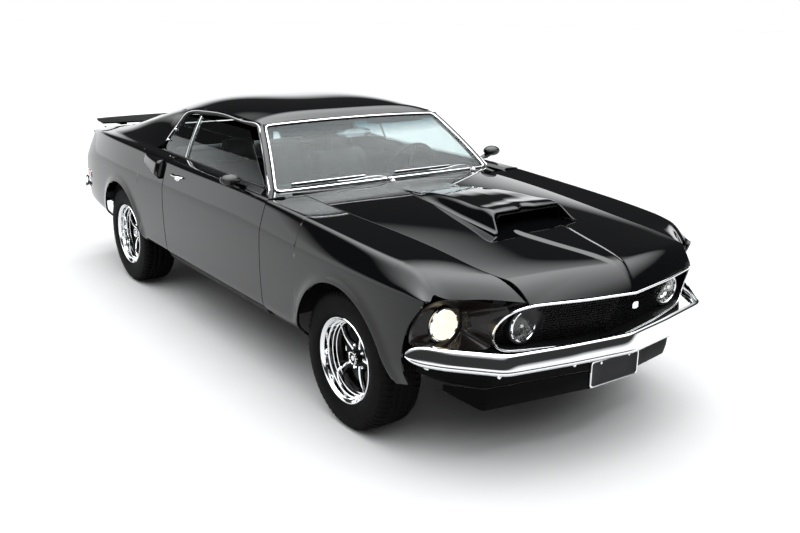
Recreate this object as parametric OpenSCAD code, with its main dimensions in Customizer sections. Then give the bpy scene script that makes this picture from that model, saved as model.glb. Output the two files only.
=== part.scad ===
// Two-door fastback muscle car, built as separate panels, glass, running gear
// and cabin pieces. Millimetres, +Z up, nose towards -Y, ground at Z = 0.

/* [Wheels and axles] */
// Distance between the front and rear axles
wheelbase = 2743; // [2720:1:2760]
// Height of the wheel centres, the loaded tyre radius
tyre_r = 332; // [326:1:334]
// Tyre section width
tyre_w = 226; // [205:1:230]
// Rim lip radius, 15 inch wheel
rim_r = 202; // [198:1:204]
// Wheel centre plane from the car's centreline
half_track = 755; // [745:1:758]
// Steering pivot from the car's centreline
kingpin_x = 705; // [700:1:708]
// Number of wheel spokes
spokes = 5; // [4:1:6]

/* [Body] */
// Thickness of fenders, hood and trunk lid
skin_t = 14; // [10:1:18]
// Thickness of the quarter panels with their inner trim
quarter_t = 34; // [28:1:40]
// Gap between a moving panel and its neighbours
shut_gap = 6; // [5:0.5:7]
// Half length of the wheel openings
arch_rx = 358; // [352:1:362]
// Height of the wheel openings above the axle
arch_rz = 370; // [364:1:376]
// Glass thickness
glass_t = 6; // [4:1:7]

/* [Doors] */
// Front edge of the doors
door_front = -706; // [-712:1:-700]
// Rear edge of the doors
door_rear = 556; // [550:1:562]
// Bottom edge of the doors
door_low = 394; // [390:1:398]

/* [Cabin] */
// Steering wheel diameter
wheel_d = 390; // [360:5:400]
// Front seat width
seat_w = 480; // [450:10:490]

/* [Bumpers] */
// Height of the bumper bars
bumper_h = 92; // [80:1:96]
// Thickness of the bumper bars
bumper_t = 26; // [18:1:30]

/* [Hidden] */

ya_f = -1425;                 // front axle
ya_r = ya_f + wheelbase;      // rear axle
axle_z = tyre_r;
g = shut_gap / 2;
black = "#0b0b0d"; chrome = "#d9dde2"; trim = "#17171a"; glass = "#9fb4b8";

// Side sections of the left half. Columns:
// y, crown x, crown z, shoulder x, shoulder z, flank x, flank z, sill x, sill z
BODY = [
  [-2060, 766, 812, 806, 776, 806, 540, 790, 430],
  [-1980, 788, 832, 840, 779, 842, 530, 808, 405],
  [-1880, 806, 860, 866, 782, 867, 505, 820, 370],
  [-1700, 826, 884, 888, 784, 884, 470, 822, 330],
  [-1425, 838, 905, 898, 785, 892, 435, 805, 312],
  [-1000, 846, 930, 899, 788, 892, 415, 785, 305],
  [ -700, 852, 944, 898, 790, 890, 410, 778, 305],
  [    0, 852, 950, 897, 788, 888, 405, 776, 305],
  [  560, 852, 955, 898, 790, 888, 408, 776, 308],
  [ 1000, 852, 967, 903, 797, 891, 420, 780, 315],
  [ 1318, 852, 969, 904, 800, 892, 435, 785, 330],
  [ 1700, 834, 965, 892, 785, 878, 445, 785, 350],
  [ 2000, 796, 954, 868, 760, 855, 455, 780, 370],
  [ 2200, 756, 941, 838, 740, 828, 470, 765, 390]];
// Hood seam on the left fender. Columns: y, x, z
SEAM = [
  [-2238, 507, 838], [-2079, 556, 853], [-1800, 572, 878], [-1511, 586, 900],
  [-938, 624, 930], [-673, 621, 940]];
// Front edge of the fenders. Columns: x, y
NOSE = [[500, -2238], [550, -2192], [650, -2092], [770, -1985], [830, -1940]];
// Front edge of the fender side. Columns: z, y
CHEEK = [[430, -1868], [560, -1888], [641, -1914], [765, -1985], [900, -1985]];
// Top of the hood along the centreline. Columns: y, z
RIDGE = [[-2340, 826], [-2254, 852], [-2000, 884], [-1500, 930], [-900, 955], [-650, 962]];
// Roof and deck. Columns: y, centre z, rail x, rail z
ROOF = [
  [-200, 1284, 600, 1244], [0, 1312, 606, 1252], [300, 1330, 608, 1260],
  [743, 1312, 604, 1220], [1100, 1250, 596, 1156], [1500, 1144, 604, 1066],
  [1800, 1050, 630, 1000], [2100, 972, 672, 962], [2240, 950, 690, 948]];

function seg(T, y, k = 0) = k >= len(T) - 2 || y < T[k + 1][0] ? k : seg(T, y, k + 1);
function slope(T, c, k) = (T[k + 1][c] - T[k][c]) / (T[k + 1][0] - T[k][0]);
function gap(T, k) = T[k + 1][0] - T[k][0];
function tangent(T, c, k) = k == 0 ? slope(T, c, 0) : k == len(T) - 1 ? slope(T, c, k - 1)
  : (slope(T, c, k - 1) * gap(T, k) + slope(T, c, k) * gap(T, k - 1)) / (gap(T, k) + gap(T, k - 1));
// Smooth value of column c of table T at y
function at(T, y, c) = let (k = seg(T, y), h = gap(T, k), t = min(1, max(0, (y - T[k][0]) / h)))
  (2*t*t*t - 3*t*t + 1) * T[k][c] + (t*t*t - 2*t*t + t) * h * tangent(T, c, k)
  + (3*t*t - 2*t*t*t) * T[k + 1][c] + (t*t*t - t*t) * h * tangent(T, c, k + 1);
function mix(a, b, t) = a + (b - a) * t;

// Half width of the body side at y and height z
function side_x(y, z) = let (xc = at(BODY, y, 1), zc = at(BODY, y, 2), xs = at(BODY, y, 3), zs = at(BODY, y, 4),
    xl = at(BODY, y, 5), zl = at(BODY, y, 6), xr = at(BODY, y, 7), zr = at(BODY, y, 8))
  z < zl ? xl + (xr - xl) * pow(max(0, zl - z) / (zl - zr), 1.5)
  : z < zs ? let (t = (z - zl) / (zs - zl)) mix(xl, xs, 2*t - t*t) + 20 * t * (1 - t)
  : mix(xs, xc, pow(min(1, (z - zs) / (zc - zs)), 1.15));
function opening(y, yc) = abs(y - yc) < arch_rx ? axle_z + arch_rz * sqrt(1 - pow((y - yc) / arch_rx, 2)) : 0;
function low_z(y) = max(at(BODY, y, 8), opening(y, ya_f), opening(y, ya_r));
function nose_drop(x, y) = 68 * pow(max(0, 1 - (y - at(NOSE, x, 1)) / 110), 2);

// Closed thick sheet between an outer grid P and an inner grid Q
module sheet(P, Q, flip = false) {
  n = len(P); m = len(P[0]);
  function o(i, j) = i * m + j;
  function q(i, j) = n * m + i * m + j;
  f = concat(
    [for (i = [0:n-2]) for (j = [0:m-2]) for (k = [0, 1])
      k == 0 ? [o(i, j), o(i, j+1), o(i+1, j+1)] : [o(i, j), o(i+1, j+1), o(i+1, j)]],
    [for (i = [0:n-2]) for (j = [0:m-2]) for (k = [0, 1])
      k == 0 ? [q(i, j), q(i+1, j+1), q(i, j+1)] : [q(i, j), q(i+1, j), q(i+1, j+1)]],
    [for (j = [0:m-2]) for (k = [0, 1]) k == 0 ? [o(0, j), q(0, j+1), o(0, j+1)] : [o(0, j), q(0, j), q(0, j+1)]],
    [for (j = [0:m-2]) for (k = [0, 1]) k == 0 ? [o(n-1, j), o(n-1, j+1), q(n-1, j+1)] : [o(n-1, j), q(n-1, j+1), q(n-1, j)]],
    [for (i = [0:n-2]) for (k = [0, 1]) k == 0 ? [o(i, 0), o(i+1, 0), q(i+1, 0)] : [o(i, 0), q(i+1, 0), q(i, 0)]],
    [for (i = [0:n-2]) for (k = [0, 1]) k == 0 ? [o(i, m-1), q(i+1, m-1), o(i+1, m-1)] : [o(i, m-1), q(i, m-1), q(i+1, m-1)]]);
  polyhedron([for (r = concat(P, Q)) for (p = r) p], flip ? [for (t = f) [t[2], t[1], t[0]]] : f);
}
// Solid through a list of closed sections with the same number of points
module loft(R, flip = false) {
  n = len(R); m = len(R[0]);
  f = concat(
    [for (i = [0:n-2]) for (j = [0:m-1]) for (k = [0, 1]) let (a = i*m + j, b = i*m + (j+1) % m)
      k == 0 ? [a, b, b + m] : [a, b + m, a + m]],
    [for (j = [1:m-2]) [0, j + 1, j]],
    [for (j = [1:m-2]) let (a = (n-1)*m) [a, a + j, a + j + 1]]);
  polyhedron([for (r = R) for (p = r) p], flip ? [for (t = f) [t[2], t[1], t[0]]] : f);
}
// Ring through a closed run of sections
module hoop(R, flip = false) {
  n = len(R); m = len(R[0]);
  f = [for (i = [0:n-1]) for (j = [0:m-1]) for (k = [0, 1]) let (a = i*m + j, b = i*m + (j+1) % m, c = ((i+1) % n)*m + j, d = ((i+1) % n)*m + (j+1) % m)
    k == 0 ? [a, b, d] : [a, d, c]];
  polyhedron([for (r = R) for (p = r) p], flip ? [for (t = f) [t[2], t[1], t[0]]] : f);
}
module both() { children(); mirror([1, 0, 0]) children(); }
module box(lo, hi) { translate(lo) cube([hi[0] - lo[0], hi[1] - lo[1], hi[2] - lo[2]]); }
module rod(a, b, r) {
  d = [b[0] - a[0], b[1] - a[1], b[2] - a[2]];
  translate(a) rotate([0, acos(d[2] / norm(d)), atan2(d[1], d[0])]) cylinder(h = norm(d), r = r, $fn = 32);
}
module across(x, r, h, f = 64) { translate([x, 0, 0]) rotate([0, 90, 0]) cylinder(h = h, r = r, $fn = f); }

// ---- Front fenders ----
// Columns of the fender: [y, share of the way to the front edge]
FENDER = concat([[-1820, 1], [-1820, 0.7], [-1820, 0.35]],
  [for (a = [0:12:180]) [ya_f - arch_rx * cos(a), 0]],
  [[-960, 0], [-830, 0], [door_front - shut_gap, 0]]);
function top_x(y, s) = mix(at(BODY, y, 1), at(SEAM, y, 1) + g + 0.4, s);
function top_y(c, s, y, k = 3) = c[1] == 0 ? c[0] : k == 0 ? y : top_y(c, s, mix(c[0], at(NOSE, top_x(y, s), 1), c[1]), k - 1);
function top_z(y, s) = mix(at(BODY, y, 2), at(SEAM, y, 2), 1 - pow(1 - s, 1.6));
function flank_y(c, z) = c[1] == 0 ? c[0] : mix(c[0], at(CHEEK, z, 1), c[1]);
function flank(c, z) = let (y = flank_y(c, z)) [side_x(y, z), y, z];
function column(c) = let (zb = low_z(c[0]), zs = at(BODY, c[0], 4), zc = at(BODY, flank_y(c, 800), 2) - nose_drop(770, flank_y(c, 800)) * 0.75)
  concat([for (s = [0, 0.25, 0.5, 0.75, 1]) flank(c, mix(zb, min(zs, zc - 12), s))],
    [let (y = flank_y(c, zc), z = (min(zs, zc - 12) + zc) / 2) [mix(side_x(y, min(zs, zc - 12)), at(BODY, y, 1), 0.45), y, z]],
    [for (s = [0, 0.3, 0.65, 1]) let (y = top_y(c, s, c[0]), x = top_x(y, s))
      [x, y, s == 0 ? zc : top_z(y, s) - nose_drop(x, y)]]);
module fender() {
  P = [for (c = FENDER) column(c)];
  Q = [for (r = P) [for (j = [0:len(r)-1]) r[j] - (j < 5 ? [skin_t, 0, 0] : j == 5 ? [skin_t, 0, skin_t/2]
        : j == 6 ? [skin_t, 0, skin_t] : [0, 0, skin_t])]];
  color(black) sheet(P, Q);
}
module front_fender_left() { fender(); }
module front_fender_right() { mirror([1, 0, 0]) fender(); }

// ---- Headlight surrounds ----
lamp = [715, -1957, 640];
// Rim of the surround round the outer lamp. Columns: x, y, z
HOODED = [
  [856, -1908, 566], [856, -1926, 640], [832, -1962, 712], [772, -2002, 748], [650, -2096, 748],
  [566, -2186, 742], [560, -2176, 690], [596, -2120, 610], [588, -2118, 560], [640, -2074, 548],
  [740, -1990, 546], [828, -1914, 548]];
module headlight_surrounds() {
  n = len(HOODED);
  cup = [for (p = HOODED) let (d = p - lamp, a = atan2(d[2], d[0] * 0.72 - d[1] * 0.69))
    lamp + [76 * cos(a) * 0.72, 14 - 76 * cos(a) * 0.69, 76 * sin(a)]];
  color(black) both() hoop([for (i = [0:n-1]) let (P = [for (s = [0, 0.5, 1]) mix(HOODED[i], cup[i], s) + [0, 34 * s * (1 - s), 0]])
    [P[0], P[1], P[2], P[2] + [0, 9, 0], P[1] + [0, 9, 0], P[0] + [0, 9, 0]]]);
}

// ---- Grille and lamps ----
// Mouth of the grille, left half. Columns: x, y, z
MOUTH_TOP = [[0, -2338, 746], [250, -2298, 752], [505, -2236, 756], [560, -2190, 735]];
MOUTH_LOW = [[0, -2262, 532], [300, -2218, 540], [540, -2152, 552], [588, -2140, 590]];
function mouth(s, t) = let (x = 588 * s, u = [x, at(MOUTH_TOP, min(x, 560), 1), at(MOUTH_TOP, min(x, 560), 2)],
  l = [x, at(MOUTH_LOW, x, 1), at(MOUTH_LOW, x, 2)]) mix(l, u, t);
module grille() {
  S = [-0.93, -0.6, -0.3, 0, 0.3, 0.6, 0.93];
  function p(s, t, d) = let (q = mouth(abs(s), t)) [sign(s) * q[0], q[1] + d, q[2]];
  color(trim) difference() {
    sheet([for (s = S) [for (t = [0.03, 0.5, 0.97]) p(s, t, 62)]],
      [for (s = S) [for (t = [0.03, 0.5, 0.97]) p(s, t, 72)]]);
    both() translate([452, -2020, 638]) rotate([90, 0, 0]) cylinder(h = 200, r = 74, $fn = 32);
  }
}
module headlights() {
  color("white") both() {
    translate(lamp + [4, 4, 0]) rotate([90, 0, 0]) rotate([0, 14, 0]) translate([0, 0, -40]) cylinder(h = 52, r = 67, $fn = 48);
    translate([452, -2147, 638]) rotate([90, 0, 0]) cylinder(h = 22, r = 68, $fn = 48);
  }
}
// Bumper bar in plan. Columns: x, y
BAR_F = [[-872, -1912], [-850, -1950], [-780, -2060], [-618, -2243], [-300, -2308], [0, -2354],
  [300, -2308], [618, -2243], [780, -2060], [850, -1950], [872, -1912]];
BAR_R = [[-868, 2150], [-850, 2250], [-800, 2312], [-600, 2336], [0, 2354], [600, 2336], [800, 2312], [850, 2250], [868, 2150]];
function normal(T, i) = let (a = T[max(0, i - 1)], b = T[min(len(T) - 1, i + 1)], d = [b[0] - a[0], b[1] - a[1]]) [d[1], -d[0]] / norm(d);
function bar_ring(T, i, z, out) = let (m = normal(T, i) * out, h = bumper_h / 2, t = bumper_t)
  [for (q = [[0, -h], [t*0.75, -h*0.86], [t, -h*0.35], [t, h*0.35], [t*0.75, h*0.86], [0, h], [-4, h*0.8], [-4, -h*0.8]])
    [T[i][0] + m[0] * q[0], T[i][1] + m[1] * q[0], z + q[1]]];
module front_bumper() { color(chrome) loft([for (i = [0:len(BAR_F)-1]) bar_ring(BAR_F, i, 528, 1)]); }
module rear_bumper() { color(chrome) loft([for (i = [0:len(BAR_R)-1]) bar_ring(BAR_R, i, 545, -1)], true); }

// Valance under the front bumper. Columns: x, top y, bottom y, bottom z
VAL = [[-800, -1900, -1890, 430], [-690, -2030, -1955, 372], [-590, -2140, -2090, 366], [0, -2250, -2215, 366],
  [590, -2140, -2090, 366], [690, -2030, -1955, 372], [800, -1900, -1890, 430]];
module front_valance() {
  color(trim) sheet(
    [for (v = VAL) [[v[0], v[2], v[3]], [v[0], mix(v[2], v[1], 0.6) - 8, mix(v[3], 534, 0.5)], [v[0], v[1], 534]]],
    [for (v = VAL) [[v[0], v[2] + 10, v[3]], [v[0], mix(v[2], v[1], 0.6) + 2, mix(v[3], 534, 0.5)], [v[0], v[1] + 10, 534]]]);
  color(trim) plate_bracket();
}
module plate_bracket() {
  difference() {
    box([-155, -2264, 326], [155, -2258, 450]);
    for (x = [-89, 89]) translate([x, -2250, 432]) rotate([90, 0, 0]) cylinder(h = 20, r = 3.5, $fn = 24);
  }
}
module front_spoiler() {
  C = [[-700, -1950, -1950, 340], [-589, -2092, -2077, 262], [0, -2214, -2172, 262], [589, -2092, -2077, 262], [700, -1950, -1950, 340]];
  color(trim) sheet([for (v = C) [[v[0], v[2], v[3]], [v[0], v[1], 362]]], [for (v = C) [[v[0], v[2] + 8, v[3]], [v[0], v[1] + 8, 362]]]);
}

// ---- Hood ----
hood_y0 = -738;
function hood_front(s) = -2336 + 98 * pow(abs(s), 1.35);
function hood_rear(s) = hood_y0 + 56 * s * s;
function hood_point(s, v) = let (y = mix(hood_rear(s), hood_front(s), v), x = (at(SEAM, y, 1) - g - 0.4) * s,
    zc = at(RIDGE, y, 1), ze = at(SEAM, y, 2), d = (y - hood_front(s)) / 110)
  [x, y, zc - (zc - ze) * pow(abs(s), 2.2) - 76 * pow(max(0, 1 - d), 2)];
HOOD_S = [-1, -0.85, -0.6, -0.3, 0, 0.3, 0.6, 0.85, 1];
HOOD_V = [0, 0.1, 0.25, 0.4, 0.55, 0.7, 0.82, 0.9, 0.95, 0.98, 1];
module hood() {
  P = [for (s = HOOD_S) [for (v = HOOD_V) hood_point(s, v)]];
  color(black) sheet(P, [for (r = P) [for (p = r) p - [0, p[1] > -900 ? 3 : -3, skin_t + 4]]], true);
}
// Scoop on the hood. Columns: y, foot half width, foot z, top half width, top z
SCOOP = [[-1746, 263, 905, 214, 968], [-1671, 263, 914, 212, 985], [-1500, 240, 930, 196, 990], [-1250, 205, 944, 172, 985], [-1000, 175, 953, 150, 962]];
module hood_scoop() {
  function hood_z(x, y) = let (xs = at(SEAM, y, 1) - g, zc = at(RIDGE, y, 1)) zc - (zc - at(SEAM, y, 2)) * pow(x / xs, 2.2);
  function ring(y, e) = let (a = at(SCOOP, y, 1), b = at(SCOOP, y, 3), zt = at(SCOOP, y, 4) - e, k = y < -1700 ? 0.55 : 1, z = mix(hood_z(a, y), zt, k))
    [[e - a, y, hood_z(a, y) + 1], [e - mix(a, b, k), y, z], [0, y, z + 10 * k], [mix(a, b, k) - e, y, z], [a - e, y, hood_z(a, y) + 1]];
  Y = [-1740, -1671, -1500, -1250, -1000];
  color(black) sheet([for (y = Y) ring(y, 0)], [for (y = Y) ring(y, 8)], true);
}

// ---- Cowl, windshield and roof ----
module cowl_panel() {
  function p(x, t) = let (s = x / 618) [x, mix(hood_y0 + 56 * s * s + shut_gap, -656 + 88 * pow(x / 724, 2), t), mix(946, 952, t) - 12 * s * s];
  X = [-714, -618, -500, -300, 0, 300, 500, 618, 714];
  color(black) sheet([for (x = X) [for (t = [1, 0]) p(x, t)]], [for (x = X) [for (t = [1, 0]) p(x, t) - [0, 0, 16]]], true);
}
function screen(s, t) = let (b = [716 * s, -642 + 92 * s * s, 960 - 22 * s * s], u = [580 * s, -220 + 26 * s * s, 1246 - 16 * s * s])
  mix(b, u, t) + [0, -34 * t * (1 - t), 34 * t * (1 - t)];
module windshield() {
  S = [-1, -0.85, -0.6, -0.3, 0, 0.3, 0.6, 0.85, 1];
  color(glass, 0.4) sheet([for (s = S) [for (t = [0, 0.33, 0.67, 1]) screen(s, t)]],
    [for (s = S) [for (t = [0, 0.33, 0.67, 1]) screen(s, t) + [0, glass_t * 0.8, -glass_t * 0.6]]]);
}
function roof_z(x, y) = let (xr = at(ROOF, y, 2), zc = at(ROOF, y, 1), zr = at(ROOF, y, 3)) zc - (zc - zr) * pow(min(1, abs(x) / xr), 4);
module roof() {
  S = [-1, -0.9, -0.7, -0.35, 0, 0.35, 0.7, 0.9, 1];
  P = [for (s = S) [for (v = [0, 0.15, 0.4, 0.65, 0.85, 1]) let (y = mix(-206 + 26 * s * s, 1010, v), x = s * at(ROOF, y, 2)) [x, y, roof_z(x, y)]]];
  color(black) {
    sheet(P, [for (i = [0:len(P)-1]) [for (p = P[i]) p + [-8 * sign(S[i]) * floor(abs(S[i])), 0, -25]]]);
    both() loft([[[713, -512, 968], [741, -526, 968], [745, -496, 968], [718, -487, 968]],
      [[594, -214, 1206], [604, -206, 1206], [600, -90, 1210], [582, -114, 1210]]], true);
  }
}

// ---- Quarter panels ----
// The lower body runs from the door to the tail; the sail panel carries the roof line down
QUARTER = concat([door_rear + 2, 640, 740, 860], [for (a = [0:12:180]) ya_r - arch_rx * cos(a)], [1780, 1900, 2020, 2120, 2190]);
function belt(y) = [at(BODY, y, 1) - 80, y, at(BODY, y, 2) + 10];
function quarter_column(y) = let (zb = low_z(y), zs = at(BODY, y, 4), zc = at(BODY, y, 2))
  concat([for (s = [0, 0.25, 0.5, 0.75, 1]) let (z = mix(zb, zs, s)) [side_x(y, z), y, z]],
    [let (z = (zs + zc) / 2) [side_x(y, z), y, z], [at(BODY, y, 1), y, zc], [at(BODY, y, 1) - 22, y, zc + 5], belt(y)]);
// Front edge of the sail panel against the quarter window: y at a share t up from the belt
function sail_y(t) = mix(918, 760, t);
function sail(y, t) = let (b = belt(y) + [0, 0, 18], r = [at(ROOF, y, 2), y, at(ROOF, y, 3) - (y < 1013 ? 29 : 0)]) mix(b, r, t) - [14, 0, 16] * 4 * t * (1 - t) * min(1, (r[2] - b[2]) / 200);
module quarter() {
  P = [for (y = QUARTER) quarter_column(y)];
  Q = [for (r = P) [for (j = [0:8]) r[j] - (j < 6 ? [quarter_t, 0, 0] : j == 6 ? [quarter_t, 0, 16] : [j == 7 ? 14 : 4, 0, 24])]];
  V = [0, 0.14, 0.2539, 0.2653, 0.42, 0.6, 0.8, 1];
  function pt(v, t) = sail(mix(sail_y(t), 1740, v), t);
  // Strip beside the trunk lid, from the belt in to the lid's edge
  D = [for (y = [1752, 1860, 1980, 2090, 2190]) let (b = belt(y) - [12, 0, -3], e = [618, y, roof_z(618, y) - 1]) [b, mix(b, e, 0.5), e]];
  S = [for (v = V) concat([for (t = [0, 0.33, 0.67, 1]) pt(v, t)],
    [let (e = pt(v, 1)) e[1] < 1013 ? e - [10, 0, 3] : [min(548, e[0] - 8), e[1], roof_z(548, e[1]) - 4]])];
  color(black) union() {
    sheet(P, Q);
    sheet(S, [for (r = S) [for (j = [0:4]) r[j] - (j < 3 ? [18, 0, 14] : [6, 0, 24])]]);
    sheet(D, [for (r = D) [for (q = r) q - [0, 0, 20]]]);
  }
}
module quarter_panel_left() { quarter(); }
module quarter_panel_right() { mirror([1, 0, 0]) quarter(); }

// ---- Side glass ----
function pane_x(z) = let (t = (z - 950) / 275) 746 - 138 * t + 34 * t * (1 - t);
module pane(E) { // E: [y, z] outline as rows of [y at front, y at rear, z]
  color(glass, 0.4) sheet([for (k = [0, 1]) [for (e = E) [pane_x(e[2]), mix(e[0], e[1], k), e[2]]]],
    [for (k = [0, 1]) [for (e = E) [pane_x(e[2]) - glass_t, mix(e[0], e[1], k), e[2]]]]);
}
GLASS = [[-480, 505, 962], [-322, 520, 1062], [-195, 530, 1142], [-102, 535, 1200]];
module quarter_windows() { both() pane([[514, 890, 966], [530, 830, 1062], [540, 788, 1130], [548, 752, 1188]]); }
module door_glass_left() { pane(GLASS); }
module door_glass_right() { mirror([1, 0, 0]) pane(GLASS); }

// ---- Rear window, trunk lid, tail ----
module rear_window() {
  S = [-1, -0.7, -0.35, 0, 0.35, 0.7, 1];
  P = [for (s = S) [for (y = [1016, 1200, 1400, 1600, 1738]) let (x = 540 * s) [x, y, roof_z(x, y) - 4]]];
  color(glass, 0.4) sheet(P, [for (r = P) [for (p = r) p - [0, 0, glass_t]]]);
}
module trunk_lid() {
  S = [-1, -0.7, -0.35, 0, 0.35, 0.7, 1];
  P = [for (s = S) [for (y = [1757, 1850, 1950, 2050, 2150, 2186]) let (x = (618 - shut_gap - 8) * s) [x, y, roof_z(x, y) - 1]]];
  color(black) sheet(P, [for (r = P) [for (p = r) p - [0, 0, skin_t + 4]]]);
}
module rear_spoiler() {
  function r(x, z) = let (e = 60 * pow(abs(x) / 716, 4)) [[x, 2060 + e, z], [x, 2310 - e, z + 12], [x, 2312 - e, z + 26], [x, 2240 - e / 2, z + 22], [x, 2060 + e, z + 10]];
  color(black) {
    loft([for (x = [-716, -640, -400, 0, 400, 640, 716]) r(x, 984)], true);
    both() box([540, 2100, 971], [590, 2230, 987]);
  }
}
module tail_panel() {
  S = [-1, -0.6, 0, 0.6, 1];
  function p(s, t) = [752 * s, 2218 + 14 * t - 8 * s * s, mix(384, 926, t)];
  color(black) {
    sheet([for (s = S) [for (t = [0, 0.3, 0.6, 1]) p(s, t)]], [for (s = S) [for (t = [0, 0.3, 0.6, 1]) p(s, t) - [0, 16, 0]]], true);
  }
}
module tail_lights() { color("darkred") both() for (k = [0:2]) box([420 + 95 * k, 2232, 660], [490 + 95 * k, 2252, 850]); }

// ---- Doors ----
function door_column(y) = let (zs = at(BODY, y, 4), zc = at(BODY, y, 2))
  concat([for (s = [0, 0.25, 0.5, 0.75, 1]) let (z = mix(door_low, zs, s)) [side_x(y, z), y, z]],
    [let (z = (zs + zc) / 2) [side_x(y, z), y, z], [at(BODY, y, 1), y, zc], [at(BODY, y, 1) - 22, y, zc + 5], [752, y, zc + 8]]);
module door() {
  Y = [door_front, -500, -200, 100, 350, door_rear - shut_gap];
  P = [for (y = Y) let (c = door_column(y)) [for (j = [0:8]) c[j] - [0, y > 500 && j > 7 ? 6 : 0, 0]]];
  inner = [772, 770, 768, 764, 756, 744, 730, 722, 712];
  lean = [0, 0, 0, 2, 6, 8, 14, 16, 16]; // how much further in the trim leans behind the windshield pillar
  Q = [for (i = [0:len(Y)-1]) [for (j = [0:8]) [inner[j] + (i < 2 ? 22 : -lean[j]), Y[i] - (i == len(Y)-1 ? 18 : 0), P[i][j][2] - (j > 5 ? 12 : 0) - (j > 6 ? 12 : 0)]]];
  color(black) sheet(P, Q);
}
module door_left() { door(); }
module door_right() { mirror([1, 0, 0]) door(); }
module mirror_shell() {
  color(black) {
    hull() { translate([900, -405, 1000]) rotate([0, 90, 0]) resize([64, 96, 110]) sphere(r = 50, $fn = 24); }
    hull() { box([812, -420, 958], [850, -380, 961]); box([868, -420, 980], [900, -385, 985]); }
  }
}
module mirror_left() { mirror_shell(); }
module mirror_right() { mirror([1, 0, 0]) mirror_shell(); }

// ---- Underbody ----
module floor_pan() {
  // Floor with its tunnel
  color(trim) translate([0, 889, 0]) rotate([90, 0, 0]) linear_extrude(height = 1469)
      polygon([[-640, 262], [-104, 262], [-92, 434], [92, 434], [104, 262], [640, 262], [640, 384], [628, 384], [628, 274],
        [116, 274], [104, 446], [-104, 446], [-116, 274], [-628, 274], [-628, 384], [-640, 384]]);
}
module firewall() {
  color(trim) difference() {
    box([-682, -594, 262], [682, -582, 914]);
    box([-98, -600, 250], [98, -570, 434]);
    both() box([636, -600, 250], [690, -570, 390]);
  }
}
module underbody() {
  color(trim) {
    // Sills under the doors
    both() translate([0, door_rear - 1, 0]) rotate([90, 0, 0]) linear_extrude(height = door_rear - door_front - 2)
      polygon([[641, 310], [772, 310], [850, 345], [874, 384], [641, 384]]);
    both() {
      // Front rails, inner aprons and spring towers
      box([380, -2026, 400], [440, -596, 470]);
      box([441, -1950, 471], [447, -596, 850]);
      box([448, -1530, 712], [590, -1320, 850]);
      // Rear wheelhouses
      intersection() {
        translate([0, ya_r, axle_z]) difference() { across(590, 392, 240, 96); across(598, 384, 300, 96); }
        box([580, 880, 462], [900, 1760, 800]);
      }
      // Rear rails and the boot floor beside them
      box([470, 902, 400], [540, 2186, 446]);
      box([589, 1730, 448], [770, 2186, 460]);
    }
    // Radiator
    box([-440, -2040, 360], [440, -2028, 790]);
    // Boot floor and the panel under the rear seat
    box([-588, 902, 448], [588, 2186, 460]);
    difference() {
      box([-630, 890, 276], [630, 901, 460]);
      box([-105, 880, 270], [105, 910, 445]);
    }
  }
}

// ---- Cabin ----
module dashboard() {
  color(trim) {
    loft([for (x = [-668, -300, 300, 668]) [[x, -560, 700], [x, -560, 916], [x, -420, 930], [x, -310, 905], [x, -290, 800], [x, -360, 700]]]);
    // Steering column
    rod([370, -300, 876], [370, -262, 894], 28);
  }
}
col = 25;
wheel_c = [370, -236, 906];
module steering_wheel() {
  color(trim) translate(wheel_c) rotate([col - 90, 0, 0]) {
    rotate_extrude($fn = 64) translate([wheel_d / 2 - 11, 0]) circle(r = 11, $fn = 16);
    for (a = [30, 150, 270]) rotate([0, 0, a]) translate([30, -14, -4]) cube([wheel_d / 2 - 44, 28, 6]);
    translate([0, 0, -14]) cylinder(h = 22, r = 42, $fn = 48);
  }
}
module seat_shape(w, back) {
  hull() { box([-w/2 + 20, 30, 300], [w/2 - 20, 500, 420]); box([-w/2, 60, 320], [w/2, 480, 400]); box([-w/2 + 30, 40, 400], [w/2 - 30, 460, 440]); }
  hull() { box([-w/2 + 10, 475, 425], [w/2 - 10, 560, 440]); box([-w/2 + 50, 640, back], [w/2 - 50, 700, back + 10]); }
}
module front_seats() {
  color(trim) both() translate([370, -110, 0]) {
    seat_shape(seat_w, 900);
    hull() { box([-110, 640, 915], [110, 700, 925]); box([-90, 660, 1040], [90, 710, 1050]); }
    box([-180, 80, 275], [180, 460, 299]);
  }
}
module rear_seat() {
  color(trim) {
    both() hull() { box([30, 770, 470], [540, 1120, 480]); box([50, 790, 560], [520, 1120, 600]); }
    both() hull() { box([30, 1122, 500], [540, 1180, 520]); box([50, 1250, 900], [500, 1310, 910]); }
  }
}

// ---- Running gear ----
module engine() { color("dimgray") box([-280, -1760, 290], [280, -1050, 850]); }
module gearbox_and_driveshaft() {
  color("gray") {
    translate([0, -1046, 340]) rotate([-90, 0, 0]) cylinder(h = 700, r = 82, $fn = 48);
    translate([0, -345, 340]) rotate([-90, 0, 0]) cylinder(h = ya_r - 130 + 345, r = 38, $fn = 48);
  }
}
module exhaust() {
  color("silver") both() translate([280, 0, 205]) rotate([-90, 0, 0]) {
    translate([0, 0, -1040]) difference() { cylinder(h = 1500, r = 30, $fn = 48); translate([0, 0, -1]) cylinder(h = 1502, r = 27, $fn = 48); }
    translate([0, 0, 460]) difference() { cylinder(h = 520, r = 52, $fn = 48); translate([0, 0, -1]) cylinder(h = 522, r = 27, $fn = 48); }
    translate([0, 0, 980]) difference() { cylinder(h = 1290, r = 30, $fn = 48); translate([0, 0, -1]) cylinder(h = 1292, r = 27, $fn = 48); }
  }
}
module fuel_tank() { color("dimgray") difference() { box([-400, 1640, 262], [400, 2120, 440]); both() translate([500, 1600, 230]) rotate([0, 45, 0]) cube([10, 600, 10]); } }
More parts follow.
